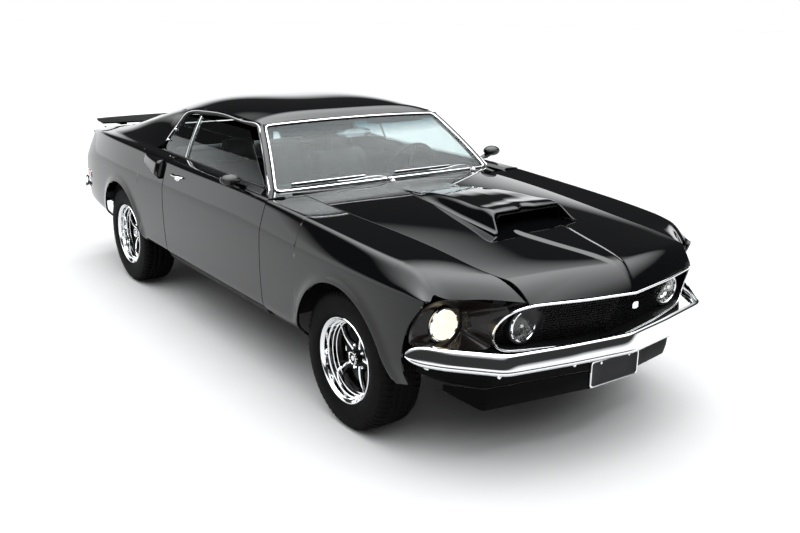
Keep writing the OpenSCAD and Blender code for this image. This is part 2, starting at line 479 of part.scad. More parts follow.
module rear_axle() {
  // Axle half profile. Columns: radius, x
  AXLE = [[0, -half_track + 10], [20, -half_track + 10], [20, -640], [40, -630], [40, -150], [104, -96], [104, 96],
    [40, 150], [40, 630], [20, 640], [20, half_track - 10], [0, half_track - 10]];
  color(trim) {
    translate([0, ya_r, axle_z]) rotate([90, 0, 90]) rotate_extrude($fn = 96) polygon(AXLE);
    // Pinion nose and leaf springs
    translate([0, ya_r - 128, axle_z + 8]) rotate([-90, 0, 0]) cylinder(h = 21, r = 50, $fn = 48);
    both() box([470, 905, 262], [530, 1890, 286]);
  }
}
module front_suspension() {
  color(trim) {
    box([-378, ya_f - 50, 220], [378, ya_f + 50, 284]);
    both() {
      box([379, ya_f - 60, 224], [640, ya_f + 60, 246]);
      box([640, ya_f - 22, 224], [kingpin_x, ya_f + 22, 246]);
      box([450, ya_f - 42, 474], [640, ya_f + 42, 490]);
      box([640, ya_f - 20, 474], [kingpin_x, ya_f + 20, 490]);
      translate([500, ya_f, 490]) cylinder(h = 216, r = 34, $fn = 48);
    }
  }
}
module knuckle() {
  color(trim) translate([0, ya_f, 0]) {
    translate([kingpin_x, 0, 254]) cylinder(h = 212, r = 22, $fn = 48);
    translate([0, 0, axle_z]) across(kingpin_x, 20, half_track - kingpin_x - 12);
    translate([0, 0, axle_z]) across(kingpin_x - 10, 60, 20);
  }
}
module front_knuckle_left() { knuckle(); }
module front_knuckle_right() { mirror([1, 0, 0]) knuckle(); }

// Wheel about its own axis, outer side towards +X. Rim section columns: x, r
RIM = [[-100, 190], [-100, rim_r], [-94, rim_r], [-90, 191], [90, 191], [94, rim_r], [102, rim_r], [102, 192], [96, 184], [60, 176], [40, 168], [-60, 168], [-90, 180]];
module rim() {
  color(chrome) {
    rotate([90, 0, 90]) rotate_extrude($fn = 96) polygon([for (p = RIM) [p[1], p[0]]]);
    difference() {
      union() {
        across(-18, 70, 64);
        for (i = [0:spokes-1]) rotate([i * 360 / spokes, 0, 0]) box([6, -24, 50], [38, 24, 172]);
      }
      across(-40, 20.06, 60);
    }
  }
}
// Tyre section. Columns: x as a share of the half width, r
TYRE = [[-0.78, 192.5], [-0.80, 204], [-0.97, 222], [-1.0, 255], [-0.96, 300], [-0.86, 322], [-0.74, 330], [-0.4, 332], [0.4, 332], [0.74, 330], [0.86, 322],
  [0.96, 300], [1.0, 255], [0.97, 222], [0.80, 204], [0.78, 192.5]];
module tyre() {
  color("#111111") rotate([90, 0, 90]) rotate_extrude($fn = 96)
    polygon([for (p = TYRE) [p[1] > 300 ? p[1] - 332 + tyre_r : p[1], p[0] * tyre_w / 2]]);
}
module on_wheel(x, y) { translate([x, y, axle_z]) children(); }
module front_rim_left() { on_wheel(half_track, ya_f) rim(); }
module front_rim_right() { mirror([1, 0, 0]) on_wheel(half_track, ya_f) rim(); }
module rear_rim_left() { on_wheel(half_track, ya_r) rim(); }
module rear_rim_right() { mirror([1, 0, 0]) on_wheel(half_track, ya_r) rim(); }
module front_tyre_left() { on_wheel(half_track, ya_f) tyre(); }
module front_tyre_right() { mirror([1, 0, 0]) on_wheel(half_track, ya_f) tyre(); }
module rear_tyre_left() { on_wheel(half_track, ya_r) tyre(); }
module rear_tyre_right() { mirror([1, 0, 0]) on_wheel(half_track, ya_r) tyre(); }

floor_pan();
firewall();
underbody();
front_fender_right();
front_fender_left();
headlight_surrounds();
grille();
headlights();
front_bumper();
front_valance();
front_spoiler();
cowl_panel();
windshield();
roof();
quarter_panel_right();
quarter_panel_left();
quarter_windows();
rear_window();
tail_panel();
tail_lights();
rear_bumper();
dashboard();
front_seats();
rear_seat();
engine();
gearbox_and_driveshaft();
exhaust();
fuel_tank();
rear_axle();
front_suspension();
hood();
hood_scoop();
trunk_lid();
rear_spoiler();
door_right();
door_left();
door_glass_right();
door_glass_left();
mirror_right();
mirror_left();
front_knuckle_right();
front_knuckle_left();
front_rim_right();
front_rim_left();
rear_rim_right();
rear_rim_left();
front_tyre_right();
front_tyre_left();
rear_tyre_right();
rear_tyre_left();
steering_wheel();
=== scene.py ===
import math

import bpy
import numpy as np
from mathutils import Matrix, Vector


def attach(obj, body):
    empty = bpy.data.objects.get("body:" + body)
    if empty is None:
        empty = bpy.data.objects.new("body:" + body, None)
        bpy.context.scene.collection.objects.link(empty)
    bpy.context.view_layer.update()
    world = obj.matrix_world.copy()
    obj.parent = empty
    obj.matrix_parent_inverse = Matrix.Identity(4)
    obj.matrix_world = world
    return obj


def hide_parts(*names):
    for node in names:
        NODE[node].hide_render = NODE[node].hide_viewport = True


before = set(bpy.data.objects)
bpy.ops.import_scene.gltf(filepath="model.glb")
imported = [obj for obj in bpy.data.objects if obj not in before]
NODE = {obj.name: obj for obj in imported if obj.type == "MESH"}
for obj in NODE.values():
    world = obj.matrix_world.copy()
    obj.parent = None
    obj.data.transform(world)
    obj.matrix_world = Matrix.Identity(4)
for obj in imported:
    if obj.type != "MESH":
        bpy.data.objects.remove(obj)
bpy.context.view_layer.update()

scene = bpy.context.scene

# ---------------------------------------------------------------- materials
MATS = {}


def material(name, base, rough=0.5, metal=0.0, coat=0.0, coat_rough=0.03, ior=1.5, spec=0.5, sheen=0.0, transmission=0.0,
             emit=None, emit_strength=0.0, alpha=1.0, coat_ior=1.5,
             grain=(400.0, 0.02), bump=(900.0, 0.05, 0.0002), vary=None, rough_vary=0.0, second=None):
    """Principled material. grain = (noise scale, share of colour that varies); bump = (noise scale, strength, distance)."""
    m = bpy.data.materials.new(name)
    m.use_nodes = True
    nt = m.node_tree
    nt.nodes.clear()
    out = nt.nodes.new("ShaderNodeOutputMaterial")
    p = nt.nodes.new("ShaderNodeBsdfPrincipled")
    nt.links.new(p.outputs[0], out.inputs[0])
    p.inputs["Base Color"].default_value = (*base, 1)
    p.inputs["Roughness"].default_value = rough
    p.inputs["Metallic"].default_value = metal
    p.inputs["IOR"].default_value = ior
    p.inputs["Specular IOR Level"].default_value = spec
    p.inputs["Coat Weight"].default_value = coat
    p.inputs["Coat Roughness"].default_value = coat_rough
    p.inputs["Coat IOR"].default_value = coat_ior
    p.inputs["Sheen Weight"].default_value = sheen
    p.inputs["Transmission Weight"].default_value = transmission
    p.inputs["Alpha"].default_value = alpha
    if emit:
        p.inputs["Emission Color"].default_value = (*emit, 1)
        p.inputs["Emission Strength"].default_value = emit_strength
    tc = nt.nodes.new("ShaderNodeTexCoord")
    n1 = nt.nodes.new("ShaderNodeTexNoise")
    n1.inputs["Scale"].default_value = grain[0]
    n1.inputs["Detail"].default_value = 4
    nt.links.new(tc.outputs["Object"], n1.inputs["Vector"])
    ramp = nt.nodes.new("ShaderNodeValToRGB")
    ramp.color_ramp.elements[0].position = 0.3
    ramp.color_ramp.elements[1].position = 0.7
    k = grain[1]
    b2 = second or base
    ramp.color_ramp.elements[0].color = (*[c * (1 - k) for c in base], 1)
    ramp.color_ramp.elements[1].color = (*[min(1, c * (1 + k)) for c in b2], 1)
    nt.links.new(n1.outputs[0], ramp.inputs[0])
    nt.links.new(ramp.outputs[0], p.inputs["Base Color"])
    if rough_vary:
        mr = nt.nodes.new("ShaderNodeMapRange")
        mr.inputs["To Min"].default_value = max(0, rough - rough_vary)
        mr.inputs["To Max"].default_value = min(1, rough + rough_vary)
        n3 = nt.nodes.new("ShaderNodeTexNoise")
        n3.inputs["Scale"].default_value = 23
        n3.inputs["Detail"].default_value = 6
        nt.links.new(tc.outputs["Object"], n3.inputs["Vector"])
        nt.links.new(n3.outputs[0], mr.inputs[0])
        nt.links.new(mr.outputs[0], p.inputs["Roughness"])
    if bump:
        n2 = nt.nodes.new("ShaderNodeTexNoise")
        n2.inputs["Scale"].default_value = bump[0]
        n2.inputs["Detail"].default_value = 2
        nt.links.new(tc.outputs["Object"], n2.inputs["Vector"])
        b = nt.nodes.new("ShaderNodeBump")
        b.inputs["Strength"].default_value = bump[1]
        b.inputs["Distance"].default_value = bump[2]
        nt.links.new(n2.outputs[0], b.inputs["Height"])
        nt.links.new(b.outputs[0], p.inputs["Normal"])
        if coat:
            nt.links.new(b.outputs[0], p.inputs["Coat Normal"])
    MATS[name] = m
    return m


PAINT = material("paint_black", (0.0011, 0.0012, 0.0014), rough=0.6, coat=1.0, coat_rough=0.01, spec=0.0, coat_ior=1.43, grain=(1800, 0.25), bump=(140, 0.03, 0.0004))
SATIN = material("satin_black", (0.0008, 0.0008, 0.0009), rough=0.42, spec=0.035, grain=(600, 0.2), bump=(1500, 0.15, 0.0003), rough_vary=0.08)
CHASSIS = material("chassis_black", (0.004, 0.004, 0.0043), rough=0.6, spec=0.2, grain=(60, 0.35), bump=(300, 0.3, 0.0006), rough_vary=0.15)
CHROME = material("chrome", (0.80, 0.81, 0.82), rough=0.045, metal=1.0, grain=(300, 0.02), bump=(60, 0.02, 0.0004))
RIMCHROME = material("rim_chrome", (0.78, 0.79, 0.80), rough=0.06, metal=1.0, grain=(300, 0.02), bump=(90, 0.02, 0.0004))
STEEL = material("steel_bare", (0.36, 0.35, 0.34), rough=0.4, metal=1.0, grain=(80, 0.2), bump=(500, 0.2, 0.0004), rough_vary=0.12)
IRON = material("engine_iron", (0.10, 0.10, 0.105), rough=0.55, metal=0.6, grain=(120, 0.25), bump=(250, 0.4, 0.0008), rough_vary=0.1)
ALLOY = material("cast_alloy", (0.42, 0.42, 0.43), rough=0.5, metal=0.9, grain=(150, 0.15), bump=(400, 0.3, 0.0006), rough_vary=0.1)
RUBBER = material("tyre_rubber", (0.0016, 0.0016, 0.0018), rough=0.6, spec=0.05, grain=(500, 0.25), bump=(700, 0.25, 0.0004), rough_vary=0.08)
SEAL = material("seal_rubber", (0.008, 0.008, 0.008), rough=0.7, spec=0.3, grain=(500, 0.2), bump=(800, 0.2, 0.0003))
VINYL = material("seat_vinyl", (0.0035, 0.0036, 0.004), rough=0.42, spec=0.3, grain=(900, 0.3), bump=(1400, 0.5, 0.0005), rough_vary=0.06)
PLASTIC = material("interior_plastic", (0.0045, 0.0045, 0.005), rough=0.5, spec=0.3, grain=(900, 0.3), bump=(1600, 0.5, 0.0004), rough_vary=0.06)
CARPET = material("carpet_black", (0.010, 0.010, 0.011), rough=0.95, spec=0.1, sheen=0.3, grain=(2500, 0.5), bump=(2600, 0.9, 0.002))
HEADLINER = material("headliner", (0.03, 0.03, 0.031), rough=0.85, spec=0.2, grain=(1500, 0.25), bump=(1800, 0.5, 0.0006))
MESH_BLACK = material("grille_black", (0.006, 0.0062, 0.0066), rough=0.38, spec=0.4, grain=(600, 0.2), bump=(900, 0.1, 0.0003))
WARM = material("lamp_lit", (0.9, 0.82, 0.68), rough=0.2, emit=(1.0, 0.86, 0.62), emit_strength=0.9, grain=(60, 0.08), bump=(160, 0.4, 0.002))
REFLECTOR = material("lamp_reflector", (0.82, 0.82, 0.80), rough=0.12, metal=1.0, grain=(200, 0.03), bump=(120, 0.3, 0.0015))
REDLENS = material("tail_lens", (0.30, 0.004, 0.004), rough=0.12, spec=0.5, coat=1.0, coat_rough=0.02, emit=(0.5, 0.01, 0.005), emit_strength=0.06, grain=(150, 0.2), bump=(420, 0.6, 0.0012))
AMBER = material("marker_amber", (0.55, 0.16, 0.01), rough=0.2, coat=1.0, grain=(150, 0.2), bump=(420, 0.6, 0.0012))
DIAL = material("dial_face", (0.02, 0.02, 0.022), rough=0.4, coat=0.5, grain=(300, 0.3), bump=(500, 0.1, 0.0003))
WHITE = material("dial_marks", (0.75, 0.75, 0.72), rough=0.5, grain=(300, 0.05), bump=(500, 0.1, 0.0002))


def glass(name, tint, band=False, rough=0.0, ior=1.45):
    """Thin pane: mostly clear, with a gloss coat; band=True adds a blue-green strip near the top edge by height in the piece."""
    m = bpy.data.materials.new(name)
    m.use_nodes = True
    nt = m.node_tree
    nt.nodes.clear()
    out = nt.nodes.new("ShaderNodeOutputMaterial")
    p = nt.nodes.new("ShaderNodeBsdfPrincipled")
    nt.links.new(p.outputs[0], out.inputs[0])
    p.inputs["Roughness"].default_value = rough
    p.inputs["Transmission Weight"].default_value = 1.0
    p.inputs["IOR"].default_value = ior
    p.inputs["Base Color"].default_value = (*tint, 1)
    tc = nt.nodes.new("ShaderNodeTexCoord")
    n = nt.nodes.new("ShaderNodeTexNoise")
    n.inputs["Scale"].default_value = 3
    nt.links.new(tc.outputs["Object"], n.inputs["Vector"])
    ramp = nt.nodes.new("ShaderNodeValToRGB")
    ramp.color_ramp.elements[0].color = (*[c * 0.985 for c in tint], 1)
    ramp.color_ramp.elements[1].color = (*tint, 1)
    nt.links.new(n.outputs[0], ramp.inputs[0])
    last = ramp.outputs[0]
    if band:
        sep = nt.nodes.new("ShaderNodeSeparateXYZ")
        nt.links.new(tc.outputs["Object"], sep.inputs[0])
        mr = nt.nodes.new("ShaderNodeMapRange")
        mr.inputs["From Min"].default_value = 1.150
        mr.inputs["From Max"].default_value = 1.215
        nt.links.new(sep.outputs[2], mr.inputs[0])
        mix = nt.nodes.new("ShaderNodeMix")
        mix.data_type = "RGBA"
        nt.links.new(mr.outputs[0], mix.inputs[0])
        nt.links.new(last, mix.inputs[6])
        mix.inputs[7].default_value = (0.03, 0.12, 0.145, 1)
        last = mix.outputs[2]
    nt.links.new(last, p.inputs["Base Color"])
    MATS[name] = m
    return m


GLASS = glass("window_glass", (0.72, 0.80, 0.80))
SCREEN = glass("windshield_glass", (0.78, 0.86, 0.86), band=True, ior=1.26)
LENS = glass("lamp_lens", (0.93, 0.94, 0.93))

CAD_LOOK = {
    "underbody": CHASSIS, "floor_pan": CHASSIS, "firewall": CHASSIS, "headlights": REFLECTOR, "grille": MESH_BLACK, "front_bumper": CHROME, "rear_bumper": CHROME,
    "front_valance": SATIN, "front_spoiler": SATIN, "tail_lights": REDLENS, "tail_panel": SATIN, "dashboard": PLASTIC,
    "front_seats": VINYL, "rear_seat": VINYL, "engine": IRON, "gearbox_and_driveshaft": ALLOY, "exhaust": STEEL,
    "fuel_tank": CHASSIS, "rear_axle": CHASSIS, "front_suspension": CHASSIS, "steering_wheel": PLASTIC,
    "windshield": SCREEN, "quarter_windows": GLASS, "rear_window": GLASS, "door_glass_right": GLASS, "door_glass_left": GLASS,
    "front_knuckle_right": IRON, "front_knuckle_left": IRON, "hood_scoop": PAINT, "rear_spoiler": SATIN}
for n, o in NODE.items():
    look = CAD_LOOK.get(n) or (RIMCHROME if "_rim_" in n else RUBBER if "_tyre_" in n else PAINT)
    o.data.materials.clear()
    o.data.materials.append(look)

# ---------------------------------------------------------------- mesh tools (lengths in millimetres)
def make(name, verts, faces, mat, body="body", slot=None, replaces=(), smooth=38, bevel=0.0, segments=2, face_mats=None, mats=None):
    """A mesh piece from millimetre points that rides on a body. The faces turn outward by signed volume."""
    v = np.asarray(verts, float) * 0.001
    tri = []
    for f in faces:
        for k in range(1, len(f) - 1):
            tri.append((f[0], f[k], f[k + 1]))
    t = np.array(tri)
    vol = np.einsum("ij,ij->i", v[t[:, 0]], np.cross(v[t[:, 1]], v[t[:, 2]])).sum()
    if vol < 0:
        faces = [tuple(reversed(f)) for f in faces]
    me = bpy.data.meshes.new(name)
    me.from_pydata(v.tolist(), [], [tuple(int(i) for i in f) for f in faces])
    me.update()
    for m in (mats or [mat]):
        me.materials.append(m)
    if face_mats is not None:
        me.polygons.foreach_set("material_index", np.asarray(face_mats, np.int32))
    me.polygons.foreach_set("use_smooth", [True] * len(me.polygons))
    if smooth < 180:
        me.set_sharp_from_angle(angle=math.radians(smooth))
    o = bpy.data.objects.new(name, me)
    scene.collection.objects.link(o)
    if bevel:
        b = o.modifiers.new("edge", "BEVEL")
        b.width = bevel * 0.001
        b.segments = segments
        b.limit_method = "ANGLE"
        b.angle_limit = math.radians(50)
        b.harden_normals = False
        b.use_clamp_overlap = True
    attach(o, body)
    if replaces:
        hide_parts(*([replaces] if isinstance(replaces, str) else replaces))
    return o


def normals(P):
    du = np.gradient(P, axis=0)
    dv = np.gradient(P, axis=1)
    n = np.cross(du, dv)
    return n / np.maximum(np.linalg.norm(n, axis=2, keepdims=True), 1e-9)


def sheet(P, Q, keep=None):
    """Closed solid between outer grid P and inner grid Q (n, m, 3); keep (n-1, m-1) says which cells stay. Returns verts, faces, kinds (0 outer, 1 inner, 2 edge)."""
    n, m = P.shape[:2]
    N = n * m
    if keep is None:
        keep = np.ones((n - 1, m - 1), bool)
    idx = np.arange(N).reshape(n, m)
    faces, kinds = [], []
    I, J = np.nonzero(keep)
    for i, j in zip(I, J):
        a, b, c, d = idx[i, j], idx[i, j + 1], idx[i + 1, j + 1], idx[i + 1, j]
        faces.append((a, b, c, d)); kinds.append(0)
        faces.append((a + N, d + N, c + N, b + N)); kinds.append(1)
        for (di, dj, p, q) in ((0, -1, d, a), (0, 1, b, c), (-1, 0, a, b), (1, 0, c, d)):
            ii, jj = i + di, j + dj
            if ii < 0 or jj < 0 or ii >= n - 1 or jj >= m - 1 or not keep[ii, jj]:
                faces.append((p, p + N, q + N, q)); kinds.append(2)
    V = np.concatenate([P.reshape(-1, 3), Q.reshape(-1, 3)])
    used = np.zeros(2 * N, bool)
    for f in faces:
        used[list(f)] = True
    new = np.cumsum(used) - 1
    return V[used], [tuple(new[list(f)]) for f in faces], kinds


def panel(name, P, thick, mat, inside=None, keep=None, **kw):
    """Sheet with its inner side moved along the surface normal by thick, away from the point side 'outward'."""
    if inside is None:
        nrm = normals(P)
        out = kw.pop("out", (0, 0, 1))
        if (nrm * np.asarray(out, float)).sum(2).mean() < 0:
            nrm = -nrm
        Q = P - nrm * thick
    else:
        kw.pop("out", None)
        Q = inside
    v, f, k = sheet(P, Q, keep)
    return make(name, v, f, mat, **kw)


def flip_x(P):
    R = np.array(P, float)
    R[..., 0] *= -1
    return R


def sections(R, closed_ends=True, ring=False):
    """Solid through sections (n, m, 3), each a closed loop."""
    R = np.asarray(R, float)
    n, m = R.shape[:2]
    idx = np.arange(n * m).reshape(n, m)
    f = []
    for i in range(n if ring else n - 1):
        for j in range(m):
            k, l = (i + 1) % n, (j + 1) % m
            f.append((idx[i, j], idx[i, l], idx[k, l], idx[k, j]))
    if closed_ends and not ring:
        f.append(tuple(idx[0][::-1]))
        f.append(tuple(idx[-1]))
    return R.reshape(-1, 3), f


def frames(path, up=(0, 0, 1)):
    path = np.asarray(path, float)
    d = np.gradient(path, axis=0)
    d /= np.linalg.norm(d, axis=1, keepdims=True)
    s = np.cross(d, up)
    s /= np.maximum(np.linalg.norm(s, axis=1, keepdims=True), 1e-9)
    u = np.cross(s, d)
    return d, s, u


def sweep(path, outline, up=(0, 0, 1), scale=None, ring=False):
    """Sections of outline [(side, up)] along path."""
    path = np.asarray(path, float)
    if ring:
        ext = np.vstack([path[-1:], path, path[:1]])
        d, s, u = (a[1:-1] for a in frames(ext, up))
    else:
        d, s, u = frames(path, up)
    o = np.asarray(outline, float)
    k = np.ones(len(path)) if scale is None else np.asarray(scale, float)
    return path[:, None] + s[:, None] * (o[None, :, 0:1] * k[:, None, None]) + u[:, None] * (o[None, :, 1:2] * k[:, None, None])


def circle(r, n=12, a0=0.0):
    a = a0 + 2 * np.pi * np.arange(n) / n
    return np.stack([r * np.cos(a), r * np.sin(a)], 1)


def pill(w, h, n=5, r=None):
    """Rounded rectangle outline, w wide and h high."""
    r = min(w, h) / 2 * 0.999 if r is None else r
    pts = []
    for cx, cy, a0 in ((w / 2 - r, h / 2 - r, 0), (-w / 2 + r, h / 2 - r, 90), (-w / 2 + r, -h / 2 + r, 180), (w / 2 - r, -h / 2 + r, 270)):
        for k in range(n):
            a = math.radians(a0 + 90 * k / (n - 1))
            pts.append((cx + r * math.cos(a), cy + r * math.sin(a)))
    return np.array(pts)


def tube(name, path, r, mat, n=12, **kw):
    v, f = sections(sweep(path, circle(r, n) if np.isscalar(r) else r, up=kw.pop("up", (0, 0, 1)), scale=kw.pop("scale", None)))
    return make(name, v, f, mat, **kw)


def curve(points, n=40):
    """Smooth line through points, evenly spaced in arc length."""
    p = np.asarray(points, float)
    d = np.r_[0, np.cumsum(np.linalg.norm(np.diff(p, axis=0), axis=1))]
    t = np.linspace(0, d[-1], n)
    return np.stack([spline(d, p[:, c], t) for c in range(p.shape[1])], 1)


def polyline(points, n=40):
    p = np.asarray(points, float)
    d = np.r_[0, np.cumsum(np.linalg.norm(np.diff(p, axis=0), axis=1))]
    t = np.linspace(0, d[-1], n)
    return np.stack([np.interp(t, d, p[:, c]) for c in range(p.shape[1])], 1)


def turned(profile, n=96, centre=(0, 0, 0), axis="x", side=1):
    """Ring solid from a closed profile [(along, radius)] turned about an axis."""
    pr = np.asarray(profile, float)
    R = []
    for k in range(n):
        a = 2 * math.pi * k / n
        c, s = math.cos(a), math.sin(a)
        if axis == "x":
            R.append(np.stack([side * pr[:, 0], pr[:, 1] * c, pr[:, 1] * s], 1))
        elif axis == "y":
            R.append(np.stack([pr[:, 1] * c, side * pr[:, 0], pr[:, 1] * s], 1))
        else:
            R.append(np.stack([pr[:, 1] * c, pr[:, 1] * s, side * pr[:, 0]], 1))
    R = np.array(R) + np.asarray(centre, float)
    return sections(R, ring=True)


def spline(xs, v, q):
    """Natural cubic spline through (xs, v) at q."""
    xs, v, q = np.asarray(xs, float), np.asarray(v, float), np.asarray(q, float)
    n = len(xs)
    h = np.diff(xs)
    A = np.zeros((n, n))
    b = np.zeros(n)
    A[0, 0] = A[-1, -1] = 1
    for i in range(1, n - 1):
        A[i, i - 1], A[i, i], A[i, i + 1] = h[i - 1], 2 * (h[i - 1] + h[i]), h[i]
        b[i] = 6 * ((v[i + 1] - v[i]) / h[i] - (v[i] - v[i - 1]) / h[i - 1])
    M = np.linalg.solve(A, b)
    q = np.clip(q, xs[0], xs[-1])
    k = np.clip(np.searchsorted(xs, q, side="right") - 1, 0, n - 2)
    t0, t1 = xs[k + 1] - q, q - xs[k]
    return (M[k] * t0**3 + M[k + 1] * t1**3) / (6 * h[k]) + (v[k] / h[k] - M[k] * h[k] / 6) * t0 + (v[k + 1] / h[k] - M[k + 1] * h[k] / 6) * t1


def hermite(T, y, c):
    T = np.asarray(T, float)
    xs, v = T[:, 0], T[:, c]
    y = np.asarray(y, float)
    h, s = np.diff(xs), np.diff(v) / np.diff(xs)
    m = np.empty_like(v)
    m[0], m[-1] = s[0], s[-1]
    m[1:-1] = (s[:-1] * h[1:] + s[1:] * h[:-1]) / (h[1:] + h[:-1])
    k = np.clip(np.searchsorted(xs, y, side="right") - 1, 0, len(xs) - 2)
    t = np.clip((y - xs[k]) / h[k], 0, 1)
    return ((2 * t**3 - 3 * t**2 + 1) * v[k] + (t**3 - 2 * t**2 + t) * h[k] * m[k]
            + (3 * t**2 - 2 * t**3) * v[k + 1] + (t**3 - t**2) * h[k] * m[k + 1])


def mix(a, b, t):
    return a + (b - a) * t


def smoothstep(a, b, x):
    t = np.clip((np.asarray(x, float) - a) / (b - a), 0, 1)
    return t * t * (3 - 2 * t)


def gauss_rows(P, sigma, axis=-2):
    """Gaussian smoothing along the section (even spacing), ends kept."""
    r = int(max(1, round(3 * sigma)))
    k = np.exp(-0.5 * (np.arange(-r, r + 1) / sigma) ** 2)
    k /= k.sum()
    first, last = P[:1], P[-1:]
    pad = np.concatenate([2 * first - P[r:0:-1], P, 2 * last - P[-2:-r - 2:-1]])
    out = np.zeros_like(P)
    for i, w in enumerate(k):
        out += w * pad[i:i + len(P)]
    return out


def resample(P, n):
    d = np.r_[0, np.cumsum(np.linalg.norm(np.diff(P, axis=0), axis=1))]
    t = np.linspace(0, d[-1], n)
    return np.stack([np.interp(t, d, P[:, c]) for c in range(P.shape[1])], 1)


# ---------------------------------------------------------------- the car's tables, as in the CAD source
BODY = np.array([
    [-2060, 766, 812, 806, 776, 806, 540, 790, 430], [-1980, 788, 832, 840, 779, 842, 530, 808, 405],
    [-1880, 806, 860, 866, 782, 867, 505, 820, 370], [-1700, 826, 884, 888, 784, 884, 470, 822, 330],
    [-1425, 838, 905, 898, 785, 892, 435, 805, 312], [-1000, 846, 930, 899, 788, 892, 415, 785, 305],
    [-700, 852, 944, 898, 790, 890, 410, 778, 305], [0, 852, 950, 897, 788, 888, 405, 776, 305],
    [560, 852, 955, 898, 790, 888, 408, 776, 308], [1000, 852, 967, 903, 797, 891, 420, 780, 315],
    [1318, 852, 969, 904, 800, 892, 435, 785, 330], [1700, 834, 965, 892, 785, 878, 445, 785, 350],
    [2000, 796, 954, 868, 760, 855, 455, 780, 370], [2200, 756, 941, 838, 740, 828, 470, 765, 390]], float)
SEAM = np.array([[-2238, 507, 838], [-2079, 556, 853], [-1800, 572, 878], [-1511, 586, 900], [-938, 624, 930], [-673, 621, 940]], float)
NOSE = [[500, -2238], [550, -2192], [650, -2092], [770, -1985], [830, -1940]]
CHEEK = [[430, -1868], [560, -1888], [641, -1914], [765, -1985], [900, -1985]]
RIDGE = [[-2340, 826], [-2254, 852], [-2000, 884], [-1500, 930], [-900, 955], [-650, 962]]
ROOF = np.array([[-200, 1284, 600, 1244], [0, 1312, 606, 1252], [300, 1330, 608, 1260], [743, 1312, 604, 1220],
                 [1100, 1250, 596, 1156], [1500, 1144, 604, 1066], [1800, 1050, 630, 1000], [2100, 972, 672, 962], [2240, 950, 690, 948]], float)
YF, YR, AZ = -1425.0, 1318.0, 332.0
ARX, ARZ, GAP, SKIN = 358.0, 370.0, 6.0, 14.0
G = GAP / 2


def bod(y, c):
    return spline(BODY[:, 0], BODY[:, c], y)


def sm(y, c):
    return spline(SEAM[:, 0], SEAM[:, c], y)


def rf(y, c):
    return spline(ROOF[:, 0], ROOF[:, c], y)


def rd(y):
    R = np.asarray(RIDGE, float)
    return spline(R[:, 0], R[:, 1], y)


def arch(y, yc):
    return np.where(np.abs(y - yc) < ARX, AZ + ARZ * np.sqrt(np.maximum(0, 1 - ((y - yc) / ARX) ** 2)), 0)


def low_z(y):
    return np.maximum(bod(y, 8), np.maximum(arch(y, YF), arch(y, YR)))


def side_points(y, n=120):
    """Body side from the sill up to the crown at one y, as (x, z)."""
    xc, zc, xs, zs, xl, zl, xr, zr = [float(bod(y, c)) for c in range(1, 9)]
    z = np.linspace(zr, zc, n)
    x = np.empty_like(z)
    a = z < zl
    x[a] = xl + (xr - xl) * ((zl - z[a]) / (zl - zr)) ** 1.5
    b = (z >= zl) & (z < zs)
    t = (z[b] - zl) / (zs - zl)
    x[b] = mix(xl, xs, 2 * t - t * t) + 20 * t * (1 - t)
    c = z >= zs
    x[c] = mix(xs, xc, np.clip((z[c] - zs) / (zc - zs), 0, 1) ** 1.15)
    return np.stack([x, z], 1)


NW = 260  # section samples
Y_FRONT = np.arange(-2240, -640, 10.0)
Y_REAR = np.arange(540, 2262, 10.0)
Y_DOOR = np.arange(-720, 570, 10.0)


def front_section(y):
    S = side_points(y, 160)
    zs, zc = float(bod(y, 4)), float(bod(y, 2))
    s = np.linspace(0, 1, 60)[1:]
    x = mix(float(bod(y, 1)), float(sm(y, 1)) + G + 0.4, s)
    z = mix(zc, float(sm(y, 2)), 1 - (1 - s) ** 1.6)
    A = np.concatenate([S, np.stack([x, z], 1)])
    A = gauss_rows(resample(A, NW), 3.2)
    return A


def door_section(y):
    S = side_points(y, 160)
    xc, zc = float(bod(y, 1)), float(bod(y, 2))
    A = np.concatenate([S, [[xc - 22, zc + 5], [752, zc + 8]]])
    return gauss_rows(resample(A, NW), 3.2)


def rear_section(y):
    """Side, crown, belt, then the sail panel up to the roof rail."""
    S = side_points(y, 160)
    xc, zc = float(bod(y, 1)), float(bod(y, 2))
    bx, bz = xc - 80, zc + 10
    rx, rz = float(rf(y, 2)), float(rf(y, 3))
    t = np.linspace(0, 1, 60)[1:]
    k = min(1, max(0, (rz - bz) / 200))
    sx = mix(bx, rx, t) - 14 * 4 * t * (1 - t) * k
    sz = mix(bz, rz, t) - 16 * 4 * t * (1 - t) * k
    A = np.concatenate([S, [[xc - 22, zc + 5], [bx, bz]]])
    L = np.r_[0, np.cumsum(np.linalg.norm(np.diff(A, axis=0), axis=1))][-1]
    A = np.concatenate([A, np.stack([sx, sz], 1)])
    d = np.r_[0, np.cumsum(np.linalg.norm(np.diff(A, axis=0), axis=1))]
    B = gauss_rows(resample(A, NW), 3.2)
    return B, L / d[-1]


FRONT = np.array([front_section(y) for y in Y_FRONT])
DOORS = np.array([door_section(y) for y in Y_DOOR])
_r = [rear_section(y) for y in Y_REAR]
REAR = np.array([a for a, _ in _r])
BELT_W = np.array([b for _, b in _r])


def look(TAB, Y, y, w):
    """(x, z) of the tabulated section at y and share w."""
    y, w = np.broadcast_arrays(np.asarray(y, float), np.asarray(w, float))
    fy = np.clip((y - Y[0]) / (Y[1] - Y[0]), 0, len(Y) - 1.000001)
    fw = np.clip(w, 0, 1) * (NW - 1)
    i, j = fy.astype(int), np.minimum(fw.astype(int), NW - 2)
    a, b = (fy - i)[..., None], (fw - j)[..., None]
    i1 = np.minimum(i + 1, len(Y) - 1)
    return (TAB[i, j] * (1 - a) + TAB[i1, j] * a) * (1 - b) + (TAB[i, j + 1] * (1 - a) + TAB[i1, j + 1] * a) * b


